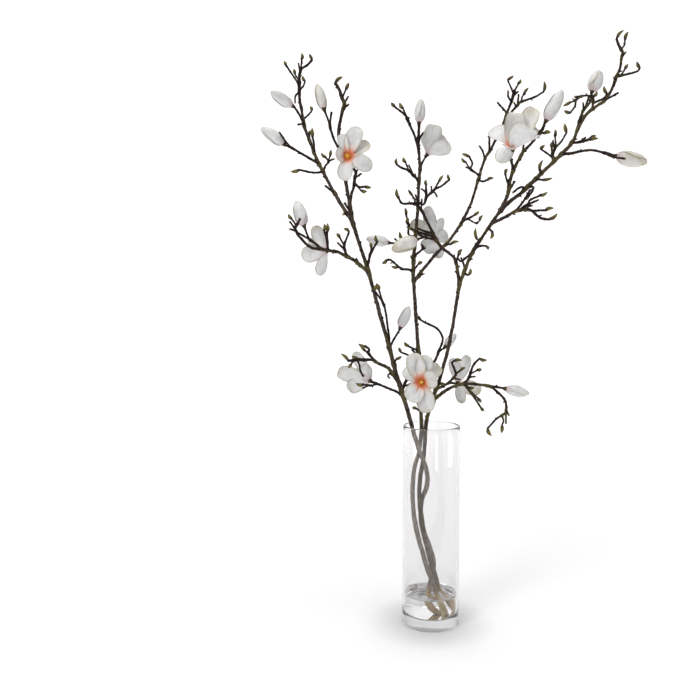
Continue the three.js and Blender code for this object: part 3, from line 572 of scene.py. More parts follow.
bark, shader, wire, add = start_finish("magnolia bark", Specular_IOR_Level=0.15)
straight = read_mark(add, "straight", "Vector")
girth, old, knot, wood, scale, pale = (
    read_mark(add, mark) for mark in ("girth", "old", "knot", "wood", "scale", "pale"))
place = add("TexCoord").outputs["Object"]
parts = add("SeparateXYZ", {"Vector": place})
rightward, height = parts.outputs["X"], parts.outputs["Z"]

# Twigs are near black and thick limbs greyer. Both are streaked lengthwise, with pale dots and dark knuckles.
grain = stretched_noise(add, straight, (1, 1, 0.13), 0.9, 5.0, 0.62)
fine = stretched_noise(add, straight, (1, 1, 0.6), 3.0, 3.0)
squashed = add("Mapping", {"Vector": straight, "Scale": (0.5, 0.5, 0.85)}).outputs[0]
dots = add("TexVoronoi", {"Vector": squashed, "Scale": 0.75}).outputs["Distance"]
dots = fade(add, dots, 0.16, 0.27, 1.0, 0.0)
twig_colour = mixed(add, fade(add, grain, 0.35, 0.68), BLACK_TWIG, BROWN_TWIG)
limb_colour = mixed(add, fade(add, grain, 0.36, 0.66), DARK_BARK, GREY_BARK)
colour = mixed(add, fade(add, girth, 2.2, 4.0), twig_colour, limb_colour)
colour = mixed(add, times(add, dots, 0.3), colour, PALE_DOT)
colour = mixed(add, times(add, knot, 0.45), colour, DARK_KNOT)

# Moss comes in clouds. There is most on middling limbs near their joints, more towards the right, and more
# on the middle and right stems round the mouth of the vase.
moss_cloud = stretched_noise(add, place, (1, 1, 1), 26.0, 4.0, 0.6)
thick = fade(add, girth, 3.4, 4.6)
moss_anywhere = reckon(add, "SUBTRACT", fade(add, girth, 2.2, 3.2, 0.0, 0.09), times(add, thick, 0.08))
moss_at_joint = reckon(add, "SUBTRACT", fade(add, girth, 2.0, 3.2, 0.1, 0.28), times(add, thick, 0.16))
moss_to_right = fade(add, rightward, -0.02, 0.16, -0.045, 0.05)
moss_at_mouth = times(add, fade(add, rightward, -0.036, -0.024), fade(add, height, 0.40, 0.56, 0.24, 0.0))
moss_reach = plus(add, times(add, old, moss_at_joint), moss_anywhere)
moss_reach = plus(add, plus(add, moss_reach, moss_to_right), moss_at_mouth)
moss = fade(add, plus(add, moss_cloud, moss_reach), 0.63, 0.86)
moss_colour = mixed(add, fade(add, fine, 0.35, 0.65), DEEP_MOSS, LIGHT_MOSS)
colour = mixed(add, moss, colour, moss_colour)

# The stems are painted pale inside the vase and tan to cream where they stand in the water: painted light on
# the stems seen through the glass and water. Collars are olive brown.
painted_light_stem_colour = mixed(add, fade(add, grain, 0.34, 0.66), DARK_STEM_PAINTED_LIGHT, PALE_STEM_PAINTED_LIGHT)
painted_light_foot_colour = mixed(add, fade(add, grain, 0.36, 0.64), TAN_FOOT_PAINTED_LIGHT, CREAM_FOOT_PAINTED_LIGHT)
wet = fade(add, height, 0.05, 0.085, 1.0, 0.0)
painted_light_stem_colour = mixed(add, times(add, wet, 0.9), painted_light_stem_colour, painted_light_foot_colour)
colour = mixed(add, times(add, pale, 0.92), colour, painted_light_stem_colour)
scale_colour = mixed(add, fade(add, grain, 0.35, 0.65), DARK_SCALE, OLIVE_SCALE)
colour = mixed(add, times(add, scale, 0.85), colour, scale_colour)
colour = mixed(add, wood, colour, CUT_WOOD)
relief = plus(add, plus(add, grain, times(add, fine, 0.35)), times(add, dots, 0.3))
relief = plus(add, relief, times(add, moss, fade(add, fine, 0.3, 0.7)))
wire(shader, {
    "Base Color": colour,
    "Roughness": fade(add, grain, 0.3, 0.75, 0.55, 0.85),
    "Normal": raised(add, relief, 0.7, 0.0005),
})


# The limbs: where each leaves its parent, its radius, its corners to the right, back and up from there, what
# it ends in, and its twigs. The trunk's corners are counted from the vase.
left_low_twig = limb(0.45, 3.5, [[-12, -11, 19], [-24, -25, 36], [-41, -41, 45], [-56, -55, 54],
  [-82, -73, 56], [-100, -83, 55]], leaf(-15, 13), [
  limb(0.24, 1.8, [[-8, -11, -4], [-5, -20, -9]], CUT),
  limb(0.59, 2.6, [[-13, 12, 16], [-11, 16, 22], [-17, 20, 27]], leaf(-15, 6), [
    limb(0.5, 1.8, [[-9, -14, 8]], leaf(-9, 9)),
  ]),
  limb(0.78, 1.8, [[-11, 26, 0]], leaf(-12, 5)),
  limb(0.88, 1.9, [[4, -8, -8], [6, -12, -20], [12, -16, -30]], CUT),
  limb(0.93, 1.8, [[-4, -7, -6]], leaf(-6, -8)),
])
left_side_twig = limb(0.66, 3.2, [[-15, -7, 13], [-29, -15, 24], [-58, -31, 38], [-75, -39, 40],
  [-108, -49, 45], [-130, -47, 66], [-137, -45, 80], [-128, -39, 99]], CUT, [
  limb(0.12, 2, [[-7, 10, 13]], CUT),
  limb(0.28, 2.5, [[-5, -7, 13], [-5, -11, 21], [4, -24, 45]], leaf(-11, 5), [
    limb(0.29, 1.8, [[-13, -14, 12]], CUT),
    limb(0.44, 1.8, [[-9, 16, 16]], leaf(-6, 8)),
  ]),
  limb(0.42, 2.3, [[-13, 14, 3]], flower("hind_left", [-0.75, 0.6, -0.1])),
  limb(0.49, 2.3, [[-1, -8, 15], [-1, -16, 31]], leaf(0, 18), [
    limb(0.46, 1.8, [[-5, -14, 20]], leaf(0, 13)),
  ]),
  limb(0.55, 2.4, [[-13, 10, 12], [-25, 18, 21], [-33, 30, 42]], bud("left_side", 25, [-16, 12, 50]), [
    limb(0.51, 1.9, [[-22, -14, 12]], CUT),
  ]),
  limb(0.86, 1.9, [[-11, -16, 3]], CUT),
  limb(0.89, 1.7, [[-10, -6, 13]], CUT),
  limb(0.92, 1.8, [[-10, 20, 14]], leaf(-7, 10)),
])
left_tall_twig = limb(0.75, 3.5, [[-15, 14, 25], [-31, 30, 53], [-45, 44, 79], [-69, 68, 127],
  [-87, 86, 174], [-97, 94, 201], [-106, 106, 251], [-108, 110, 271], [-107, 117, 309],
  [-104, 119, 320], [-91, 122, 330], [-82, 124, 340]], leaf(-7, 12), [
  limb(0.07, 2.1, [[-6, -12, -4]], CUT),
  limb(0.2, 2, [[-18, -18, 12]], CUT),
  limb(0.34, 2.4, [[-16, -11, -4], [-44, -30, -2]], leaf(-17, -3)),
  limb(0.34, 2.3, [[4, 12, 13], [10, 22, 23], [5, 30, 32]], leaf(-10, 10), [
    limb(0.69, 1.7, [[4, -10, 9]], leaf(2, 14)),
    limb(0.72, 1.8, [[12, -24, 1]], CUT),
  ]),
  limb(0.39, 2.6, [[-18, -11, 9], [-51, -33, 24], [-62, -40, 28]], bud("left_middle", 23, [-42, -12, 29]), [
    limb(0.8, 1.8, [[-10, -10, 9], [-23, -26, 26]], CUT),
  ]),
  limb(0.46, 2.3, [[0, -10, 12], [-2, -22, 25]], leaf(-1, 18)),
  limb(0.53, 2, [[-1, 16, 17]], leaf(3, 7)),
  limb(0.62, 2.4, [[-6, -14, 13], [-17, -30, 28]], bud("left_top", 22, [-42, -18, 24])),
  limb(0.63, 1.9, [[-13, 18, 2]], CUT),
  limb(0.65, 1.8, [[11, 14, 14], [17, 24, 25]], leaf(-4, 8)),
  limb(0.72, 1.8, [[-5, 14, 14]], CUT),
  limb(0.8, 1.9, [[-7, -9, -10], [-7, -20, -26]], CUT),
  limb(0.81, 1.8, [[10, -16, 5], [13, -26, 10]], leaf(-5, 11)),
  limb(0.83, 2, [[-9, -12, 14], [-24, -28, 33]], leaf(-4, 9)),
  limb(0.85, 1.8, [[-10, 18, 22]], leaf(-3, 11)),
  limb(0.9, 1.8, [[-4, 14, 24]], CUT),
  limb(0.91, 1.8, [[2, -7, 12], [3, -12, 20]], leaf(0, 13)),
])
left_branch = limb(0, 5.6, [[37, 14, 20], [28, 18, 38], [17, 16, 70], [6, 16, 105], [-5, 18, 145],
  [-17, 19, 195], [-19, 17, 226], [-16, 12, 250], [-9, 0, 276], [-8, -9, 300], [-15, -15, 326],
  [-25, -16, 352], [-37, -10, 390], [-46, -10, 422], [-57, -15, 458], [-72, -20, 506], [-90, -24, 570],
  [-110, -30, 642], [-128, -37, 706], [-145, -44, 757], [-158, -50, 798], [-167, -60, 852],
  [-178, -58, 920], [-183, -52, 960], [-173, -49, 1014], [-182, -46, 1040], [-190, -44, 1053],
], leaf(15, 11), [
  limb(0.43, 2.7, [[-15, 4, 8], [-35, 12, 16], [-62, 26, 25]], flower("left_mouth", [-0.6, 0.7, 0.35]), [
    limb(0.82, 2.4, [[-10, -16, -2], [-26, -20, 0]], leaf(-16, 3), [
      limb(0.7, 1.8, [[-13, -5, -6]], CUT),
    ]),
  ]),
  limb(0.44, 2.3, [[9, 8, 19], [14, 14, 35]], leaf(5, 12), [
    limb(0.18, 1.9, [[17, 10, 6]], CUT),
    limb(0.37, 1.8, [[13, 16, 12]], CUT),
  ]),
  left_low_twig,
  limb(0.49, 1.9, [[4, -12, 11]], leaf(11, 6)),
  limb(0.52, 2.2, [[13, 15, 23], [21, 24, 35]], bud("left_low", 21, [18, 8, 44])),
  limb(0.52, 2.3, [[-1, -5, 24], [-10, -18, 80], [-16, -21, 94], [-31, -26, 112]], leaf(4, 11), [
    limb(0.75, 1.8, [[-7, 12, 24]], leaf(-6, 14)),
  ]),
  left_side_twig,
  limb(0.67, 2.6, [[4, -9, 16], [7, -16, 27], [18, -30, 46]], leaf(-3, 13), [
    limb(0.54, 1.8, [[1, 14, 11]], leaf(-3, 10)),
  ]),
  left_tall_twig,
  limb(0.77, 2.1, [[-12, -10, 17]], CUT),
  limb(0.78, 2.9, [[2, 3, 19], [7, 13, 38], [11, 27, 69], [4, 33, 77]], CUT, [
    limb(0.57, 2.1, [[8, -15, -9], [19, -30, -11]], leaf(13, -2), [
      limb(0.24, 1.8, [[9, -30, -15]], leaf(11, -1)),
    ]),
    limb(0.71, 2, [[12, 22, 11]], CUT),
    limb(0.84, 1.8, [[9, -10, 12]], CUT),
  ]),
  limb(0.836, 2.7, [[6, -16, 14], [7, -30, 26]], flower("upper_left", [-0.25, -0.95, 0.12])),
  limb(0.87, 2.4, [[-14, 12, 30], [-28, 30, 76], [-32, 34, 87]], bud("left_inner", 20, [-15, 8, 51]), [
    limb(0.64, 1.9, [[3, -10, 26]], CUT),
  ]),
  limb(0.95, 2, [[11, -12, 6]], CUT),
  limb(0.96, 1.8, [[8, 10, 15]], CUT),
  limb(0.97, 1.8, [[7, -14, 12]], leaf(6, 12)),
])

left_limbs = show_branch("left_branch", left_branch, "branch_left", 402)

# ---------------------------------------------------------------- middle branch
# A second cut branch of the same wood, long and nearly straight, with a closed bud at its end and one long
# side limb up to the right. It bears the flower just above the vase. Its cut foot stands on the glass.
middle_right_twig = limb(0.68, 3.5, [[10, 7, 9], [20, 17, 23], [57, 43, 65], [73, 53, 79], [102, 71, 117],
  [125, 85, 160], [134, 92, 184], [154, 107, 249], [161, 110, 264], [172, 113, 281], [196, 111, 329],
  [201, 109, 349], [213, 103, 379], [218, 97, 402]], CUT, [
  limb(0.04, 2, [[8, -16, 2]], CUT),
  limb(0.24, 2, [[5, -24, -2]], leaf(19, 6)),
  limb(0.36, 2.3, [[7, -13, 6], [22, -36, 14]], leaf(11, 8), [
    limb(0.56, 1.8, [[21, 17, -8], [28, 24, -1]], leaf(7, 11)),
  ]),
  limb(0.58, 2.3, [[7, -15, -6], [13, -30, -5]], leaf(15, 4)),
  limb(0.6, 2.4, [[-22, -15, 11], [-19, -23, 21], [-27, -34, 33]], leaf(-16, 6), [
    limb(0.35, 1.8, [[-16, -8, 7]], CUT),
    limb(0.4, 1.8, [[-5, 15, 11], [-8, 26, 20]], leaf(-10, 11)),
  ]),
  limb(0.68, 2.1, [[-8, -15, 14], [-17, -26, 23]], CUT),
  limb(0.72, 2.3, [[-4, -18, 17], [-6, -30, 29]], leaf(5, 12)),
  limb(0.85, 2.6, [[16, -11, 24], [32, -21, 41], [58, -32, 48], [75, -40, 57]], leaf(0, 22), [
    limb(0.41, 1.9, [[-8, -14, 5]], CUT),
    limb(0.44, 2, [[7, 22, 28]], CUT),
    limb(0.55, 1.9, [[-2, -9, 6], [0, -18, 10]], leaf(10, 14)),
  ]),
  limb(0.9, 2.2, [[-14, 30, 29]], CUT),
  limb(0.95, 2.2, [[-10, -14, 7], [-13, -26, 15]], CUT),
  limb(0.97, 1.9, [[15, 20, 16]], CUT),
  limb(0.98, 1.9, [[-17, -20, 25]], leaf(13, 8)),
  limb(0.99, 1.9, [[12, 16, 21]], leaf(5, 10)),
])
middle_front_twig = limb(0.84, 2.5, [[11, -5, -4], [15, -10, 9], [14, -20, 32]], leaf(0, 11), [
  limb(0.5, 2.2, [[22, 18, 21], [34, 26, 27], [52, 40, 42]], leaf(-3, 12), [
    limb(0.25, 1.7, [[1, 10, 14]], CUT),
    limb(0.36, 1.8, [[8, -18, 15]], leaf(9, 13)),
  ]),
  limb(0.55, 2, [[14, -14, 7], [20, -22, -3]], CUT),
  limb(0.73, 1.7, [[-11, -12, 5]], CUT),
])
middle_branch = limb(0, 5.4, [[23, -8, 20], [12, -13, 58], [4, -15, 85], [-6, -15, 111], [-14, -14, 135],
  [-30, -9, 195], [-35, -5, 226], [-37, 0, 259], [-36, 3, 289], [-32, 5, 319], [-25, 5, 343],
  [-20, 3, 386], [-21, 4, 428], [-23, 12, 489], [-26, 19, 548], [-31, 28, 628], [-35, 36, 696],
  [-35, 39, 724], [-28, 49, 792], [-24, 57, 855], [-20, 65, 920], [-23, 69, 955], [-22, 76, 1002],
], bud("middle_top", 22, [4, 6, 51]), [
  limb(0.43, 2.1, [[-4, -10, -7], [-10, -16, -3]], leaf(-9, 2)),
  limb(0.449, 2.7, [[-2, -26, 19], [-3, -46, 33]], flower("front", [0, -0.99, 0.1])),
  limb(0.46, 2.6, [[8, 10, 15], [27, 24, 50], [38, 28, 70], [48, 30, 100], [44, 28, 112], [33, 24, 124],
    [9, 22, 136], [2, 26, 141]], leaf(-8, 8), [
    limb(0.5, 1.9, [[12, 14, 6]], bud("low_middle", 17, [24, 10, 26])),
  ]),
  limb(0.51, 2.1, [[-17, -12, 19], [-37, -22, 28]], leaf(-5, 10)),
  limb(0.53, 1.8, [[-12, 14, 11]], CUT),
  limb(0.54, 2, [[-21, -26, 10]], leaf(-9, 9)),
  middle_right_twig,
  limb(0.7, 1.9, [[8, -24, 13]], leaf(9, 4)),
  limb(0.7, 2.6, [[-11, -8, 3], [-24, -17, 4], [-48, -39, 20], [-55, -44, 20]], leaf(-10, -7), [
    limb(0.41, 1.8, [[-8, -16, 2]], leaf(-14, 2)),
  ]),
  limb(0.72, 2.3, [[-6, -14, 10]], CUT),
  limb(0.73, 2.3, [[21, -20, 17]], CUT, [
    limb(0.9, 1.8, [[-7, -8, 8]], CUT),
  ]),
  limb(0.75, 2.4, [[-22, -23, 3], [-52, -56, 3]], bud("middle_left", 21, [-44, -10, 7]), [
    limb(0.41, 1.9, [[-3, 20, 10]], leaf(-6, 17)),
    limb(0.62, 1.8, [[-11, -10, 10]], CUT),
  ]),
  limb(0.77, 2.2, [[-13, 8, 5], [-13, 17, 24], [-17, 30, 47]], leaf(-3, 15), [
    limb(0.6, 1.7, [[-5, -14, 3]], leaf(2, 12)),
  ]),
  limb(0.78, 2.5, [[16, 6, -9], [42, 14, -15]], flower("middle", [-0.1, 0.95, 0.2])),
  middle_front_twig,
  limb(0.88, 1.9, [[-7, -11, 7], [-10, -22, 15]], CUT),
  limb(0.885, 2.5, [[-23, -14, 18], [-38, -25, 22], [-48, -34, 26]], leaf(0, 13), [
    limb(0.28, 1.8, [[-10, -16, 17]], CUT),
    limb(0.46, 1.8, [[-6, 18, 20]], leaf(-5, 11)),
  ]),
  limb(0.91, 2.5, [[7, 13, 16], [16, 26, 31]], flower("top", [0.55, 0.05, 0.83])),
  limb(0.95, 2.7, [[-11, -15, 26], [-29, -36, 58], [-52, -50, 72]], leaf(-7, 8), [
    limb(0.6, 1.8, [[3, 16, 10]], CUT),
    limb(0.64, 1.8, [[-10, -24, 14]], leaf(-7, 12)),
  ]),
  limb(0.97, 1.9, [[8, -16, 11]], CUT),
])

middle_limbs = show_branch("middle_branch", middle_branch, "branch_middle", 385)

# ---------------------------------------------------------------- right branch
# A third cut branch of the same wood. It leans to the right and forks at its top into several limbs, which
# reach furthest to the side. Its cut foot stands on the glass beside the other two.
right_low_twig = limb(0.51, 3.7, [[8, -10, 18], [21, -22, 31], [37, -34, 44], [53, -44, 52],
  [67, -52, 54], [101, -66, 52], [130, -76, 48]], bud("right_low", 20, [45, -8, -9]), [
  limb(0.09, 2, [[2, -10, 13]], CUT),
  limb(0.56, 2.4, [[8, -6, 11], [15, -18, 37], [25, -26, 51]], leaf(15, -3), [
    limb(0.28, 1.8, [[10, -14, 3]], CUT),
    limb(0.41, 1.8, [[16, 18, 5]], leaf(9, 2)),
  ]),
  limb(0.57, 2.4, [[8, -11, -13], [26, -36, -42]], leaf(6, -5), [
    limb(0.15, 1.8, [[4, -12, 1]], leaf(8, 0)),
    limb(0.26, 1.9, [[20, 20, -18]], leaf(8, -9)),
  ]),
  limb(0.83, 2.3, [[12, -4, -7], [30, -11, -25], [33, -14, -38], [32, -18, -49], [9, -25, -63],
    [-5, -30, -77]], leaf(8, -14), [
    limb(0.54, 1.9, [[3, -12, -8]], CUT),
    limb(0.58, 1.8, [[3, 14, -23]], CUT),
    limb(0.67, 1.8, [[2, -7, -8], [-2, -14, -16]], leaf(-1, -15)),
  ]),
])
right_mouth_twig = limb(0.56, 2.6, [[10, 8, 1], [20, 16, 5], [29, 22, 10]], CUT, [
  limb(0.07, 2, [[-2, -5, 8], [2, -13, 20], [5, -21, 31], [1, -26, 39]], leaf(9, 3), [
    limb(0.22, 1.8, [[4, -10, 2]], leaf(11, 0)),
  ]),
  limb(0.9, 2.3, [[8, -11, 11], [13, -18, 20], [2, -35, 43], [5, -40, 48]], leaf(16, 1), [
    limb(0.26, 1.8, [[15, 8, -4]], CUT),
    limb(0.41, 1.8, [[12, 14, 8]], leaf(9, 5)),
  ]),
  limb(0.96, 2.5, [[18, 8, -3]], flower("right_mouth", [0.3, 0.93, 0.1])),
])
right_cross_twig = limb(0.81, 3.2, [[-3, 2, 21], [-5, 4, 38], [-10, 6, 53], [-34, 18, 75], [-43, 23, 89],
  [-62, 31, 128], [-71, 33, 146], [-81, 30, 158], [-97, 20, 158], [-111, 12, 158], [-117, 8, 166],
], leaf(-4, 19), [
  limb(0.19, 2.2, [[2, -22, 14]], leaf(7, 11)),
  limb(0.47, 2.4, [[-12, -7, 5], [-36, -20, 11], [-47, -26, 15]], leaf(-10, 2), [
    limb(0.35, 2.2, [[-10, -12, -6], [-20, -24, -10]], bud("middle_front", 29, [-49, -20, -21])),
  ]),
  limb(0.52, 2.1, [[-14, 3, 3], [-29, 6, 10]], CUT),
  limb(0.74, 2, [[0, -14, 20]], CUT),
  limb(0.77, 1.9, [[-8, -12, 23]], CUT),
  limb(0.82, 1.8, [[0, 11, 11], [-4, 22, 20]], leaf(-8, 11)),
])
right_forward_twig = limb(0.97, 3.1, [[12, -14, 4], [34, -40, 16], [46, -50, 18], [58, -60, 16],
  [72, -72, 1], [85, -82, -3]], leaf(15, 11), [
  limb(0.44, 2.3, [[18, 15, 21], [33, 30, 43]], CUT),
  limb(0.51, 2.3, [[8, -7, 7], [28, -22, 16]], CUT, [
    limb(0.27, 1.8, [[11, -14, 0]], CUT),
    limb(0.47, 1.9, [[4, 5, 8], [24, 16, 18]], leaf(15, 7)),
  ]),
  limb(0.6, 2.2, [[16, 13, 0], [43, 34, 3]], leaf(17, 4)),
])
right_flower_twig = limb(1, 3.5, [[8, -5, 18], [13, -9, 34], [15, -13, 54], [20, -17, 73], [36, -25, 104],
  [49, -29, 118], [68, -33, 143], [72, -35, 154]], bud("right_inner", 25, [28, -6, 54]), [
  limb(0.22, 2.3, [[17, 26, 22]], CUT),
  limb(0.27, 1.9, [[-8, -14, 11], [-13, -26, 20]], leaf(4, 8)),
  limb(0.44, 2.6, [[-10, -22, 20], [-9, -34, 29]], flower("upper_right", [0.1, -0.1, 0.99])),
  limb(0.61, 2.2, [[8, 20, 21]], CUT),
  limb(0.9, 1.8, [[3, -14, -5]], leaf(13, 1)),
])
right_tall_twig = limb(0.53, 2.8, [[5, 4, 20], [11, 8, 36], [26, 12, 54], [30, 15, 67], [30, 16, 72],
], bud("right_top", 28, [16, 8, 45]), [
  limb(0.52, 1.9, [[-6, -14, 10]], CUT),
  limb(0.6, 1.9, [[6, 9, 15], [10, 14, 24]], CUT),
  limb(0.93, 2.1, [[-16, -12, -2], [-43, -34, -10]], CUT, [
    limb(0.61, 1.9, [[-9, 15, -5], [-14, 22, -6]], leaf(-15, -8), [
      limb(0.5, 1.8, [[-4, -9, -15], [-17, -20, -31]], leaf(-12, 5)),
    ]),
  ]),
])
right_outer_twig = limb(1, 3.8, [[20, 9, 19], [41, 19, 34], [86, 41, 76], [129, 61, 116], [146, 68, 132],
  [157, 74, 148], [166, 79, 169], [179, 84, 191], [194, 88, 207], [221, 94, 227], [231, 97, 239],
  [239, 101, 253], [255, 108, 292], [262, 113, 325], [253, 115, 343], [250, 116, 353],
], leaf(15, 17), [
  limb(0.15, 2.2, [[-7, -6, 4], [-18, -14, -1], [-27, -22, -9]], CUT),
  limb(0.17, 2.2, [[8, -9, -3], [4, -16, -12], [-3, -24, -20]], leaf(-11, -8)),
  limb(0.22, 2.2, [[7, -26, -6]], leaf(19, 4)),
  limb(0.26, 2.1, [[-9, -18, 2]], leaf(7, 20)),
  limb(0.34, 2.6, [[1, 16, 16], [3, 30, 32]], leaf(0, 11), [
    limb(0.22, 2, [[-10, 12, 12], [-20, 23, 23]], leaf(9, 7)),
    limb(0.52, 2, [[4, -6, 12], [13, -12, 22], [21, -20, 37]], leaf(-4, 18), [
      limb(0.23, 1.7, [[-7, -10, 15]], CUT),
      limb(0.32, 1.8, [[3, 18, 24]], leaf(0, 14)),
    ]),
  ]),
  limb(0.39, 2.8, [[13, -9, -1], [45, -32, 1], [69, -51, -8], [81, -60, -14]],
    bud("right_side", 28, [56, -10, -15]), [
    limb(0.82, 2, [[9, -17, -10], [24, -44, -19]], CUT),
  ]),
  limb(0.46, 2.4, [[10, -11, -1], [26, -30, 0]], leaf(17, 2), [
    limb(0.42, 1.9, [[17, 16, 12]], CUT),
    limb(0.72, 1.8, [[16, 14, 9]], leaf(11, 4)),
  ]),
  right_tall_twig,
  limb(0.64, 2.2, [[-4, -16, 9], [-8, -30, 16]], leaf(7, 10), [
    limb(0.47, 1.9, [[16, -15, 6], [19, -22, 12]], leaf(-6, 15)),
  ]),
  limb(0.7, 2.4, [[23, -20, 11]], CUT),
  limb(0.81, 1.9, [[-6, -8, 4]], CUT),
  limb(0.83, 2.2, [[8, -8, -1], [30, -29, 1], [32, -34, 5]], leaf(-6, 13), [
    limb(0.17, 1.8, [[14, 18, 18]], leaf(6, 10)),
  ]),
  limb(0.92, 2, [[3, -12, 4]], CUT),
  limb(0.95, 1.8, [[10, 10, 12], [14, 20, 25]], leaf(7, 17)),
])
right_branch = limb(0, 5.6, [[13, 6, 20], [0, 0, 38], [-5, -2, 57], [-1, -1, 77], [4, 0, 100], [6, 2, 122],
  [-1, 4, 150], [-12, 6, 180], [-18, 6, 211], [-22, 4, 240], [-23, 4, 268], [-21, 5, 298],
  [-16, 6, 325], [-12, 8, 365], [-10, 9, 401], [-4, 8, 430], [3, 4, 456], [13, -2, 484], [28, -14, 547],
  [41, -22, 621], [49, -28, 679], [63, -37, 720], [74, -42, 745], [97, -52, 781], [119, -58, 814],
], CUT, [
  right_low_twig,
  right_mouth_twig,
  right_cross_twig,
  limb(0.84, 2, [[8, -6, -5]], leaf(4, 14)),
  limb(0.85, 2, [[-8, 6, 22]], CUT),
  limb(0.89, 2.1, [[-21, 8, -16], [-25, 10, -11]], CUT),
  limb(0.9, 2.5, [[9, -11, 4], [19, -24, 3]], leaf(3, -7)),
  limb(0.92, 2.2, [[-9, -20, 3]], leaf(-2, 20)),
  limb(0.955, 2.2, [[5, -16, -9]], leaf(-4, -13)),
  right_forward_twig,
  right_flower_twig,
  right_outer_twig,
])

right_limbs = show_branch("right_branch", right_branch, "branch_right", 190)

# ---------------------------------------------------------------- leaf buds
# Pointed young leaf buds at the twigs' ends, each a leaf rolled round itself with one edge showing, and on
# some a dry brown outer scale still clasping one side. They grew on the branches.
LEAF_BUD_RADIUS = 3.6
LEAF_BUD_RINGS = np.array([0, 0.05, 0.12, 0.2, 0.3, 0.42, 0.54, 0.66, 0.77, 0.87, 0.95, 0.99])
LEAF_BUD_BOW = 0.11
DRY_SCALE_SHARE = 0.4
DRY_SCALE_SIZE = 0.62


def rolled_bud_skin(foot, reach, radius, bend, tone):
    """A pointed bud from its foot along its reach: a line bowed sideways by half a sine wave, whose thickness
    rises fast from the foot, is full at two fifths and runs out in a point. Round each ring the radius grows
    by an eighth until it steps back at the rolled leaf's edge, and the edge turns as it climbs."""
    climb = LEAF_BUD_RINGS[:, None]
    size = np.linalg.norm(reach)
    across, over = square_ways(foot, reach / size)
    lean = math.cos(bend) * across + math.sin(bend) * over
    middle = foot + climb * reach + LEAF_BUD_BOW * size * np.sin(np.pi * climb) * lean
    thickness = radius * np.sin(np.pi * (0.06 + 0.94 * climb) ** 0.8) ** 0.72
    lap = np.linspace(0, 1, 10)
    turn = 2 * np.pi * lap + 1.1 * climb + bend
    around = thickness * (0.94 + 0.13 * lap * np.sin(np.pi * climb) ** 0.5)
    rings = middle[:, None] + around[..., None] * spokes(turn, across, over)
    return closed_skin(rings, young=np.stack(np.broadcast_arrays(climb, lap, tone), -1))


DARK_GREEN, YOUNG_GREEN = (0.036, 0.028, 0.006, 1), (0.15, 0.125, 0.022, 1)
MIDDLE_GREEN = (0.29, 0.24, 0.055, 1)
DARK_HUSK, DRY_HUSK = (0.016, 0.009, 0.006, 1), (0.07, 0.04, 0.018, 1)
BROWN_TIP, BROWN_EDGE = (0.06, 0.04, 0.02, 1), (0.07, 0.05, 0.025, 1)
leaf_bud, shader, wire, add = start_finish("leaf bud green", Specular_IOR_Level=0.35, Roughness=0.6)
young = read_mark(add, "young", "Vector")
parts = add("SeparateXYZ", {"Vector": young})
climb, lap, tone = (parts.outputs[axis] for axis in "XYZ")
place = add("TexCoord").outputs["Object"]
mottle = stretched_noise(add, place, (1, 1, 1), 420.0, 4.0, 0.6)
streak = stretched_noise(add, young, (1.2, 9, 7), 3.0, 3.0)
green = mixed(add, fade(add, streak, 0.35, 0.65), DARK_GREEN, YOUNG_GREEN)
# Round the middle of its length the bud is a lighter green.
belly = times(add, fade(add, climb, 0.15, 0.5), fade(add, climb, 0.6, 0.95, 1.0, 0.0))
green = mixed(add, times(add, belly, 0.4), green, MIDDLE_GREEN)
brown = mixed(add, fade(add, mottle, 0.35, 0.65), DARK_HUSK, DRY_HUSK)
husk = fade(add, plus(add, climb, times(add, mottle, 0.35)), 0.30, 0.48, 1.0, 0.0)
dry = fade(add, tone, 0.35, 0.95, 0.15, 0.85)
colour = mixed(add, reckon(add, "MAXIMUM", husk, dry), green, brown)
colour = mixed(add, fade(add, climb, 0.84, 1.0, 0.0, 0.7), colour, BROWN_TIP)
colour = mixed(add, fade(add, lap, 0.9, 1.0, 0.0, 0.6), colour, BROWN_EDGE)
wire(shader, {
    "Base Color": colour,
    "Normal": raised(add, plus(add, mottle, streak), 0.5, 0.0003),
})


def show_leaf_buds(name, limbs):
    """Every leaf bud of a branch as one piece. About two in five keep a dry scale against one side."""
    skins = []
    for found in ending_in(limbs, "leaf"):
        tip, reach = found["corners"][-1], found["end"]["reach"]
        bend, tone = draw.uniform(0, 2 * np.pi), draw.uniform(0, 0.7)
        width = LEAF_BUD_RADIUS * draw.uniform(0.86, 1.04)
        skins.append(rolled_bud_skin(tip, reach, width, bend, tone))
        if draw.uniform() < DRY_SCALE_SHARE:
            across, over = square_ways(tip, unit(reach))
            side = math.cos(bend) * across + math.sin(bend) * over
            scale_reach = DRY_SCALE_SIZE * reach + 1.6 * side
            scale_width = DRY_SCALE_SIZE * width
            skins.append(rolled_bud_skin(tip + 0.9 * side, scale_reach, scale_width, bend + 1, 1.0))
    make_piece(name, skins, leaf_bud, "bark")


for side, limbs in (("left", left_limbs), ("middle", middle_limbs), ("right", right_limbs)):
    show_leaf_buds(side + "_leaf_buds", limbs)

# ---------------------------------------------------------------- closed flower buds
# Thirteen closed buds, egg to cigar shaped, each of six waxy white tepals wrapped over one another round
# a firm core and flushed pink at the foot. Each stands in its collar on its twig.
BUD_TEPAL_GRID = 26
BUD_CORE_RINGS, BUD_CORE_SIDES = 18, 20
CORE_SLIMNESS = 0.84
INNER_TEPAL = {"spread": 1.15, "layer": 0.9}
OUTER_TEPAL = {"spread": 1.2, "layer": 0.99}
INNER_REACH = 0.985
OUTER_REACHES = (0.84, 0.97)


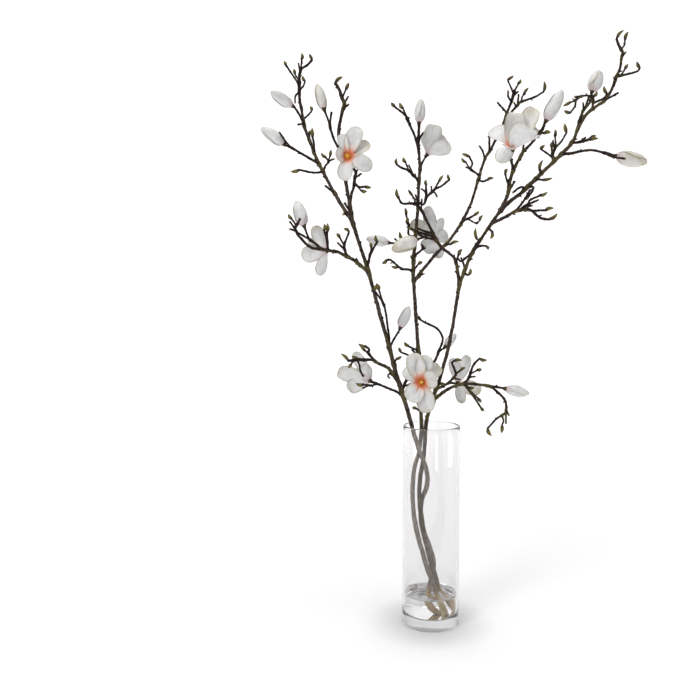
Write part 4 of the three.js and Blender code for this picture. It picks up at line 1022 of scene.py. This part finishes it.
def egg(climb):
    """A bud's thickness along it, as a share of its widest: full at two fifths, then drawn in to a round end.

    Below and above that it is a quarter of an oval, a little fuller than an ellipse.
    """
    below, above = np.clip(1 - climb / 0.4, 0, 1), np.clip((climb - 0.4) / 0.6, 0, 1)
    return np.where(climb < 0.4, (1 - below**2.2) ** 0.62, (1 - above**2.3) ** 0.66)


def bud_core_skin(seat, axis, length, radius, bow, tone):
    """The firm inside of a closed bud: its egg shape a little slimmer, turned round the axis, and bowed
    sideways by the square of the height."""
    climb = np.linspace(0.01, 0.97, BUD_CORE_RINGS)[:, None, None]
    turn = full_turn(BUD_CORE_SIDES)
    thickness = radius * np.maximum(CORE_SLIMNESS * egg(climb), 0.04)
    ways = spokes(turn, *square_ways(seat, axis))
    rings = seat + climb * length * axis + thickness * ways + climb**2 * bow
    blade = np.stack(np.broadcast_arrays(climb[..., 0], turn / 7, tone), -1)
    return closed_skin(rings, blade=blade, inner=0.0)


def wrapped_tepal_skin(seat, axis, length, radius, bow, tone, turn, reach, spread, layer):
    """One tepal of a closed bud: a thin curved shell on the bud's egg shape, bowed as the bud's core is.

    It spans an angle either side of its middle that opens out from the foot and rounds off to the tip.
    One edge lifts and the other tucks in. Across, it is a flat loop: out along one face and back along
    the other.
    """
    share = 1 - (1 - np.linspace(0, 1, BUD_TEPAL_GRID)[:, None]) ** 1.5
    loop = full_turn(BUD_TEPAL_GRID)
    side, face = np.cos(loop), np.sin(loop)
    opening = 0.6 + 0.4 * np.clip(share / 0.45, 0, 1) ** 1.5
    rounding = np.sqrt(np.clip(1 - (np.clip(share - 0.55, 0, None) / 0.452) ** 2, 0, 1))
    angle = turn + side * (spread * opening * rounding) + 0.5 * share
    climb = 0.02 + (reach - 0.02) * share
    lift = 0.7 * side * np.sin(np.pi * share)
    thickness = 0.45 * np.sign(face) * np.abs(face) ** 0.6
    ripple = 0.15 * np.cos(2 * np.pi * side) * share
    shell = np.maximum(radius * np.maximum(egg(climb), 0.05) * layer + lift + thickness + ripple, 0.15)
    ways = spokes(angle, *square_ways(seat, axis))
    rings = seat + (climb * length)[..., None] * axis + shell[..., None] * ways + (share**2)[..., None] * bow
    blade = np.stack(np.broadcast_arrays(climb, 0.5 + 0.5 * side, tone), -1)
    return closed_skin(rings, blade=blade, inner=np.clip(-2 * face, 0, 1))


# Tepals are white with faint grey veins and clouds of painted shade. Towards the rim they are beige, partly
# browning and partly painted shade, with a fine painted dark edge of shade. Outside they are flushed pink at
# the foot, and inside the foot glows orange with a peach halo.
WHITE, VEIN_GREY, PAINTED_SHADE_GREY = (0.81, 0.81, 0.80, 1), (0.68, 0.686, 0.695, 1), (0.58, 0.59, 0.60, 1)
BEIGE_BROWNING_AND_SHADE, PAINTED_EDGE_SHADE, FLUSH_PINK = (0.60, 0.55, 0.43, 1), (0.40, 0.375, 0.31, 1), (0.62, 0.36, 0.44, 1)
PEACH, GLOWING_ORANGE = (0.86, 0.48, 0.34, 1), (0.70, 0.18, 0.065, 1)
petal, shader, wire, add = start_finish("waxy white petal", Roughness=0.45, Specular_IOR_Level=0.35)
blade = read_mark(add, "blade", "Vector")
inner = read_mark(add, "inner")
outer = reckon(add, "SUBTRACT", 1.0, inner)
parts = add("SeparateXYZ", {"Vector": blade})
climb, side, tone = (parts.outputs[axis] for axis in "XYZ")
off_middle = reckon(add, "ABSOLUTE", reckon(add, "SUBTRACT", side, 0.5))
place = add("TexCoord").outputs["Object"]
veins = stretched_noise(add, blade, (0.9, 7.0, 9.0), 3.2, 3.0, 0.5)
cloud = stretched_noise(add, place, (1, 1, 1), 60.0, 3.0)
fine = stretched_noise(add, place, (1, 1, 1), 700.0, 2.0)
colour = mixed(add, fade(add, veins, 0.38, 0.70), WHITE, VEIN_GREY)
# Soft clouds of painted shade grey the white in patches.
colour = mixed(add, fade(add, cloud, 0.46, 0.66, 0.0, 0.55), colour, PAINTED_SHADE_GREY)
# Towards the rim and tip the tepals turn beige, partly browning that differs from tepal to tepal and partly
# painted shade.
rim = reckon(add, "MAXIMUM", fade(add, off_middle, 0.26, 0.5), fade(add, climb, 0.62, 1.0))
rim = plus(add, times(add, rim, 0.8), fade(add, tone, 0.7, 1.0, 0.0, 0.4))
browning_and_shade = times(add, fade(add, tone, 0.35, 1.0, 0.45, 1.0), fade(add, cloud, 0.3, 0.6, 0.4, 1.0))
colour = mixed(add, times(add, browning_and_shade, rim), colour, BEIGE_BROWNING_AND_SHADE)
# A fine painted dark edge of shade runs along each tepal's sides and tip.
painted_edge_shade = reckon(add, "MAXIMUM", fade(add, off_middle, 0.40, 0.49), fade(add, climb, 0.93, 1.0))
colour = mixed(add, times(add, painted_edge_shade, 0.68), colour, PAINTED_EDGE_SHADE)
flush = fade(add, plus(add, climb, times(add, veins, 0.25)), 0.10, 0.40, 1.0, 0.0)
colour = mixed(add, times(add, times(add, flush, outer), 0.6), colour, FLUSH_PINK)
halo = times(add, fade(add, climb, 0.14, 0.50, 0.5, 0.0), inner)
colour = mixed(add, halo, colour, PEACH)
glow = fade(add, reckon(add, "SUBTRACT", climb, times(add, veins, 0.11)), 0.03, 0.27, 1.0, 0.0)
colour = mixed(add, times(add, times(add, glow, inner), 0.95), colour, GLOWING_ORANGE)
wire(shader, {
    "Base Color": colour,
    "Normal": raised(add, plus(add, veins, times(add, fine, 0.2)), 0.35, 0.0004),
})


def show_flower_buds(limbs):
    """Each closed bud of a branch as a piece: its core, three inner tepals that meet at the tip, and three
    outer ones."""
    for found in ending_in(limbs, "bud"):
        end = found["end"]
        seat, axis = seat_of(found)
        length, radius = np.linalg.norm(end["reach"]), end["width"] / 2
        tone, start = draw.uniform(0, 1), draw.uniform(0, 2 * np.pi)
        bow = square_ways(seat, axis)[0] * draw.uniform(-1.6, 1.6)
        one_bud = (seat, axis, length, radius, bow, tone)
        skins = [bud_core_skin(*one_bud)]
        for third in range(3):
            turn = start + (2 * third + 1) * np.pi / 3
            skins.append(wrapped_tepal_skin(*one_bud, turn, INNER_REACH, **INNER_TEPAL))
        for third in range(3):
            turn = start + 2 * third * np.pi / 3
            skins.append(wrapped_tepal_skin(*one_bud, turn, draw.uniform(*OUTER_REACHES), **OUTER_TEPAL))
        make_piece(end["name"] + "_flower_bud", skins, petal, "petal", "bud_" + end["name"])


for limbs in (left_limbs, middle_limbs, right_limbs):
    show_flower_buds(limbs)

# ---------------------------------------------------------------- open flowers
# Eight open flowers: waxy white tepals, cupped and a little waved, pink outside at the foot and glowing
# orange inside round a small golden cone ringed with stamens. Each grew at its twig's end, in a collar.
TEPAL_RINGS, TEPAL_LOOP = 44, 36
TEPAL_THICKNESS = 0.9
WIDEST_AT = 0.6
TIP_ROUNDNESS = 2.1
CUP = 0.36
EDGE_WAVE = 0.06
MIDRIB = 0.45
FINE_RIB = 0.07
CONE_HEIGHT = 15
CONE_RINGS, CONE_SIDES = 30, 40
STAMENS = 22
# Of each tepal: how far right, back and up its tip is from the flower's seat, its width, and how many
# degrees it twists.
TEPALS = {
  "front": [[-20, -14, 57, 36, 0], [7, -12, 54, 34, 0], [27, -30, 12, 36, 0], [11, -16, -57, 36, 0],
    [-25, -22, -33, 38, 0], [-34, 2, 26, 27, 0], [37, 8, 33, 29, 0]],
  "upper_left": [[19, -12, 50, 33, 0], [39, -8, 22, 25, 0], [43, -12, -23, 29, 0], [-6, -14, -45, 29, 0],
    [-23, -24, 2, 26, 10], [-13, -8, 40, 20, 0]],
  "middle": [[-17, 20, 71, 27, 0], [15, 16, 46, 18, 0], [25, 8, 12, 28, 0], [10, 14, -36, 24, 0],
    [-24, 8, -22, 34, 0], [-50, 12, 38, 32, 0]],
  "upper_right": [[-32, 34, 45, 40, 40], [9, 16, 73, 38, 0], [19, -44, 33, 50, 20], [56, 34, 45, 36, -35],
    [-29, -28, -26, 30, 35], [48, 36, 84, 34, -30]],
  "top": [[-9, -10, 44, 20, -40], [14, -24, 58, 38, -25], [38, -2, 36, 38, 40], [42, -27, 12, 38, 22],
    [52, 32, 27, 32, -40]],
  "hind_left": [[-22, 14, 48, 28, 30], [-51, 14, -10, 32, 0], [-14, 16, -47, 24, -30], [-36, 26, 23, 20, 35]],
  "right_mouth": [[-10, 14, 50, 24, 0], [23, 20, 56, 24, 0], [50, 20, -20, 30, 15], [12, 18, -43, 22, 10]],
  "left_mouth": [[-32, 20, 58, 24, 25], [-21, 8, 31, 36, 10], [-68, 8, 18, 34, 0], [-46, 6, -18, 32, -30]],
}


def blade_share(climb):
    """A tepal's half-width along it, as a share of its widest: a third at the claw, rising as a quarter of
    a sine wave to full at three fifths, then a blunted quarter of an ellipse to a round tip."""
    claw = 0.33 + 0.67 * np.sin(np.pi / 2 * np.clip(climb / WIDEST_AT, 0, 1))
    past_widest = np.clip(climb - WIDEST_AT, 0, None) / (1 - WIDEST_AT)
    return claw * np.clip(1 - past_widest**TIP_ROUNDNESS, 0, 1) ** (1 / TIP_ROUNDNESS)


def tepal_skin(seat, axis, shape):
    """One open tepal: a thin cupped blade along a cubic curve from the flower's heart to its tip.

    The curve leaves the heart outwards and bends towards the flower's axis, and the blade twists about it
    over its first three fifths. Across, the blade is a parabola hollowed to the axis, deeper near the claw,
    with waved edges, a sunken midrib and fine ridges, and a thickness that runs out at its edges. Its tip
    curls back or forward a little.
    """
    reach, width, twist = np.array(shape[:3], float), shape[3], math.radians(shape[4])
    length = np.linalg.norm(reach)
    outward = unit(reach - (reach @ axis) * axis)
    foot, tip = seat + 4.3 * outward + 3 * axis, seat + reach
    first = foot + (0.2 * outward + 0.16 * axis) * length
    second = tip + 0.3 * (foot - tip) + 0.14 * length * axis
    climb = 1 - (1 - np.linspace(0, 1, TEPAL_RINGS)[:, None]) ** 1.6
    left = 1 - climb
    middle = left**3 * foot + 3 * climb * left**2 * first + 3 * climb**2 * left * second + climb**3 * tip
    tangent = (3 * left**2 * (first - foot) + 6 * climb * left * (second - first)
               + 3 * climb**2 * (tip - second))
    tangent /= np.linalg.norm(tangent, axis=1)[:, None]
    inward = 0.6 * axis - 0.8 * outward
    inward = inward - (tangent @ inward)[:, None] * tangent
    inward /= np.linalg.norm(inward, axis=1)[:, None]
    sideways = np.cross(tangent, inward)
    turned_by = twist * np.sin(np.pi / 2 * np.clip(climb / 0.6, 0, 1)) ** 2
    sideways, inward = (np.cos(turned_by) * sideways + np.sin(turned_by) * inward,
                        np.cos(turned_by) * inward - np.sin(turned_by) * sideways)

    loop = full_turn(TEPAL_LOOP)
    side, face = np.cos(loop), np.sin(loop)
    phase, lean = draw.uniform(0, 2 * np.pi), draw.uniform(-1, 1)
    curl, tone = draw.uniform(-0.5, 1.5), draw.uniform(0, 1)
    half = blade_share(climb) * width / 2
    arch = np.sin(np.pi * climb)
    spread = half * side + 0.06 * width * lean * arch * (1 - side**2)
    hollow = half * CUP * (1 - 0.6 * climb) * side**2
    ripple = np.sin(9 * climb + phase + 1.3 * np.sign(side))
    waves = EDGE_WAVE * half * np.abs(side) ** 2.5 * ripple * climb**0.5
    ribs = -MIDRIB * np.exp(-(side / 0.13) ** 2) * arch - FINE_RIB * np.cos(11 * np.pi * side) * arch
    back = -curl * 0.045 * length * np.clip((climb - 0.75) / 0.25, 0, 1) ** 2
    thick = TEPAL_THICKNESS / 2 * np.sign(face) * np.abs(face) ** 0.7 * (1.25 - 0.6 * climb)
    depth = hollow + waves + ribs + back + thick
    rings = middle[:, None] + spread[..., None] * sideways[:, None] + depth[..., None] * inward[:, None]
    blade = np.stack(np.broadcast_arrays(climb, 0.5 + 0.5 * side, tone), -1)
    return closed_skin(rings, blade=blade, inner=np.clip(0.5 + 2 * face, 0, 1))


def cone_skin(seat, axis):
    """A flower's cone: a rounded spindle along its axis, with bumps where two sets of spirals cross."""
    climb = np.linspace(0, 1, CONE_RINGS)[:, None]
    turn = full_turn(CONE_SIDES)
    radius = np.interp(climb, [0, 0.12, 0.4, 0.7, 0.9, 1], [3.0, 3.5, 3.6, 2.7, 1.5, 0.4])
    swirl = np.cos(8 * turn + 26 * climb) * np.cos(5 * turn - 30 * climb)
    around = radius * (1 + 0.14 * swirl * np.sin(np.pi * climb))
    ways = spokes(turn, *square_ways(seat, axis))
    rings = seat + (CONE_HEIGHT * climb)[..., None] * axis + around[..., None] * ways
    return closed_skin(rings, ripe=climb)


def stamen_skin(seat, axis, turn, reach):
    """One stamen: a slim rod from the cone's foot, first outwards and then along the axis, to a blunt tip."""
    across, over = square_ways(seat, axis)
    outward = math.cos(turn) * across + math.sin(turn) * over
    climb = np.linspace(0, 1, 5)[:, None]
    middle = seat + (2.4 + reach * 0.9 * climb) * axis + (3.2 + 1.9 * np.sin(1.9 * climb)) * outward
    radius = np.array([0.45, 0.5, 0.62, 0.7, 0.4])
    ways = spokes(full_turn(6), outward, np.cross(axis, outward))
    return closed_skin(middle[:, None] + radius[:, None, None] * ways, ripe=0.15 + 0.4 * climb)


DEEP_ORANGE, GOLD = (0.78, 0.22, 0.05, 1), (0.90, 0.45, 0.06, 1)
RIPE_GOLD, POLLEN = (0.80, 0.50, 0.08, 1), (0.95, 0.70, 0.22, 1)
heart, shader, wire, add = start_finish("flower heart", Specular_IOR_Level=0.3)
ripe = read_mark(add, "ripe")
place = add("TexCoord").outputs["Object"]
pollen = stretched_noise(add, place, (1, 1, 1), 900.0, 3.0)
colour = mixed(add, fade(add, ripe, 0.1, 0.5), DEEP_ORANGE, GOLD)
colour = mixed(add, fade(add, ripe, 0.6, 1.0), colour, RIPE_GOLD)
colour = mixed(add, fade(add, pollen, 0.5, 0.75, 0.0, 0.6), colour, POLLEN)
wire(shader, {
    "Base Color": colour,
    "Roughness": fade(add, pollen, 0.3, 0.7, 0.5, 0.8),
    "Normal": raised(add, pollen, 0.5, 0.0003),
})


def show_flowers(limbs):
    """Each open flower of a branch: a piece for its cone and stamens, then one for each tepal."""
    for found in ending_in(limbs, "flower"):
        name = found["end"]["name"]
        seat, axis = seat_of(found)
        turns = full_turn(STAMENS) + draw.uniform(-0.1, 0.1, STAMENS)
        stamens = [stamen_skin(seat, axis, turn, draw.uniform(5.0, 7.0)) for turn in turns]
        make_piece(name + "_flower_heart", [cone_skin(seat, axis)] + stamens, heart, "petal")
        for number, shape in enumerate(TEPALS[name], 1):
            piece, cad_node = f"{name}_flower_petal_{number}", f"flower_{name}_tepal_{number}"
            make_piece(piece, [tepal_skin(seat, axis, shape)], petal, "petal", cad_node)


for limbs in (left_limbs, middle_limbs, right_limbs):
    show_flowers(limbs)

# ---------------------------------------------------------------- floor and light
# A pale studio sweep of paper under and behind the vase, level and then curved up, lit softly from the front
# left, from the right and from above. Two small lamps put the highlights on the glass.
SWEEP_COLUMNS = 13
SWEEP_BEND = 1.4
bend = np.linspace(0, np.pi / 2, 12)
sweep_profile = np.vstack([
    [[-4.0, 0.0], [-1.0, 0.0], [0.0, 0.0], [0.8, 0.0], [1.6, 0.0]],
    np.stack([1.8 + SWEEP_BEND * np.sin(bend), SWEEP_BEND - SWEEP_BEND * np.cos(bend)], -1),
    [[3.2, 2.5], [3.2, 5.0]],
])
columns = np.linspace(-6, 6, SWEEP_COLUMNS)
points = np.stack(np.broadcast_arrays(columns, sweep_profile[:, :1], sweep_profile[:, 1:]), -1)
first_points = np.arange(len(sweep_profile) - 1) * SWEEP_COLUMNS
corner = (first_points[:, None] + np.arange(SWEEP_COLUMNS - 1)).ravel()
faces = np.stack([corner, corner + 1, corner + SWEEP_COLUMNS + 1, corner + SWEEP_COLUMNS], -1)
sweep_mesh = bpy.data.meshes.new("studio_sweep")
sweep_mesh.from_pydata(points.reshape(-1, 3).tolist(), [], faces.tolist())
sweep_mesh.polygons.foreach_set("use_smooth", np.ones(len(faces), bool))
paper, shader, wire, add = start_finish(
    "pale paper", Roughness=0.95, Specular_IOR_Level=0.1, Emission_Color=(1, 1, 1, 1))
place = add("TexCoord").outputs["Object"]
fibre = stretched_noise(add, place, (1, 1, 1), 40.0, 3.0)
away = add("VectorMath", {0: place}, operation="LENGTH").outputs["Value"]

# The paper has painted light: it glows faintly, a little more away from the vase, so that it is white there,
# and round the foot the glow dips below nothing, a painted shadow that greys it.
painted_glow_and_foot_shadow = fade(add, away, 0.065, 0.15, -0.04, 0.13)
painted_glow_far = fade(add, away, 0.3, 3.2, 0.0, 0.26)
wire(shader, {
    "Base Color": mixed(add, fibre, (0.88, 0.88, 0.88, 1), (0.9, 0.9, 0.9, 1)),
    "Emission Strength": plus(add, painted_glow_and_foot_shadow, painted_glow_far),
})
sweep_mesh.materials.append(paper)
sweep = bpy.data.objects.new("studio_sweep", sweep_mesh)
bpy.context.scene.collection.objects.link(sweep)


def soft_light(name, place, target, width, height, power, colour):
    """An oblong lamp at a place, turned to face a target."""
    lamp = bpy.data.lights.new(name, "AREA")
    lamp.shape, lamp.size, lamp.size_y = "RECTANGLE", width, height
    lamp.energy, lamp.color = power, colour
    holder = bpy.data.objects.new(name, lamp)
    bpy.context.scene.collection.objects.link(holder)
    holder.location = place
    way = np.array(target) - np.array(place)
    flat = math.hypot(way[0], way[1])
    holder.rotation_euler = (math.atan2(flat, -way[2]), 0, math.atan2(way[1], way[0]) - math.pi / 2)


soft_light("key light", (-1.9, -2.2, 2.5), (0, 0, 0.7), 1.2, 1.2, 44, (1.0, 0.99, 0.97))
soft_light("fill light", (2.4, -1.6, 1.5), (0, 0, 0.6), 1.8, 1.8, 5, (0.95, 0.97, 1.0))
soft_light("top light", (0.1, -0.5, 6.0), (0, 0, 0.2), 3.2, 3.2, 200, (1.0, 1.0, 1.0))
soft_light("side glint", (1.2, -0.32, 0.12), (0, 0, 0.12), 0.34, 0.12, 1.3, (1.0, 1.0, 1.0))
soft_light("front glint", (0.24, -0.97, 0.16), (0, 0, 0.16), 0.2, 0.11, 0.2, (1.0, 1.0, 1.0))

# The room is white where it is seen straight, through clear glass or in a sharp reflection, and otherwise
# lights the pieces only faintly.
ROOM_LIGHT, ROOM_WHITE = 0.13, 1.08
world = bpy.data.worlds.new("studio room")
bpy.context.scene.world = world
world.use_nodes = True
room = world.node_tree.nodes["Background"]
room.inputs["Color"].default_value = (0.96, 0.97, 0.98, 1)
ray = world.node_tree.nodes.new("ShaderNodeLightPath")
seen = world.node_tree.nodes.new("ShaderNodeMath")
seen.operation = "MAXIMUM"
level = world.node_tree.nodes.new("ShaderNodeMapRange")
level.inputs["To Min"].default_value = ROOM_LIGHT
level.inputs["To Max"].default_value = ROOM_WHITE
world.node_tree.links.new(ray.outputs["Is Camera Ray"], seen.inputs[0])
world.node_tree.links.new(ray.outputs["Is Singular Ray"], seen.inputs[1])
world.node_tree.links.new(seen.outputs[0], level.inputs["Value"])
world.node_tree.links.new(level.outputs["Result"], room.inputs["Strength"])
bpy.context.scene.view_settings.view_transform = "Standard"

# ---------------------------------------------------------------- camera
# It stands in front and a little to the left, at about half the arrangement's height, and looks slightly
# down. Its lens is of ordinary length and isn't shifted.
lens = bpy.data.cameras.new("camera")
lens.lens = 38.93
lens.sensor_width = 36
camera = bpy.data.objects.new("camera", lens)
camera.location = (-0.1619, -1.4887, 0.6512)
camera.rotation_euler = (math.radians(86.09), 0, 0)
bpy.context.scene.collection.objects.link(camera)
bpy.context.scene.camera = camera
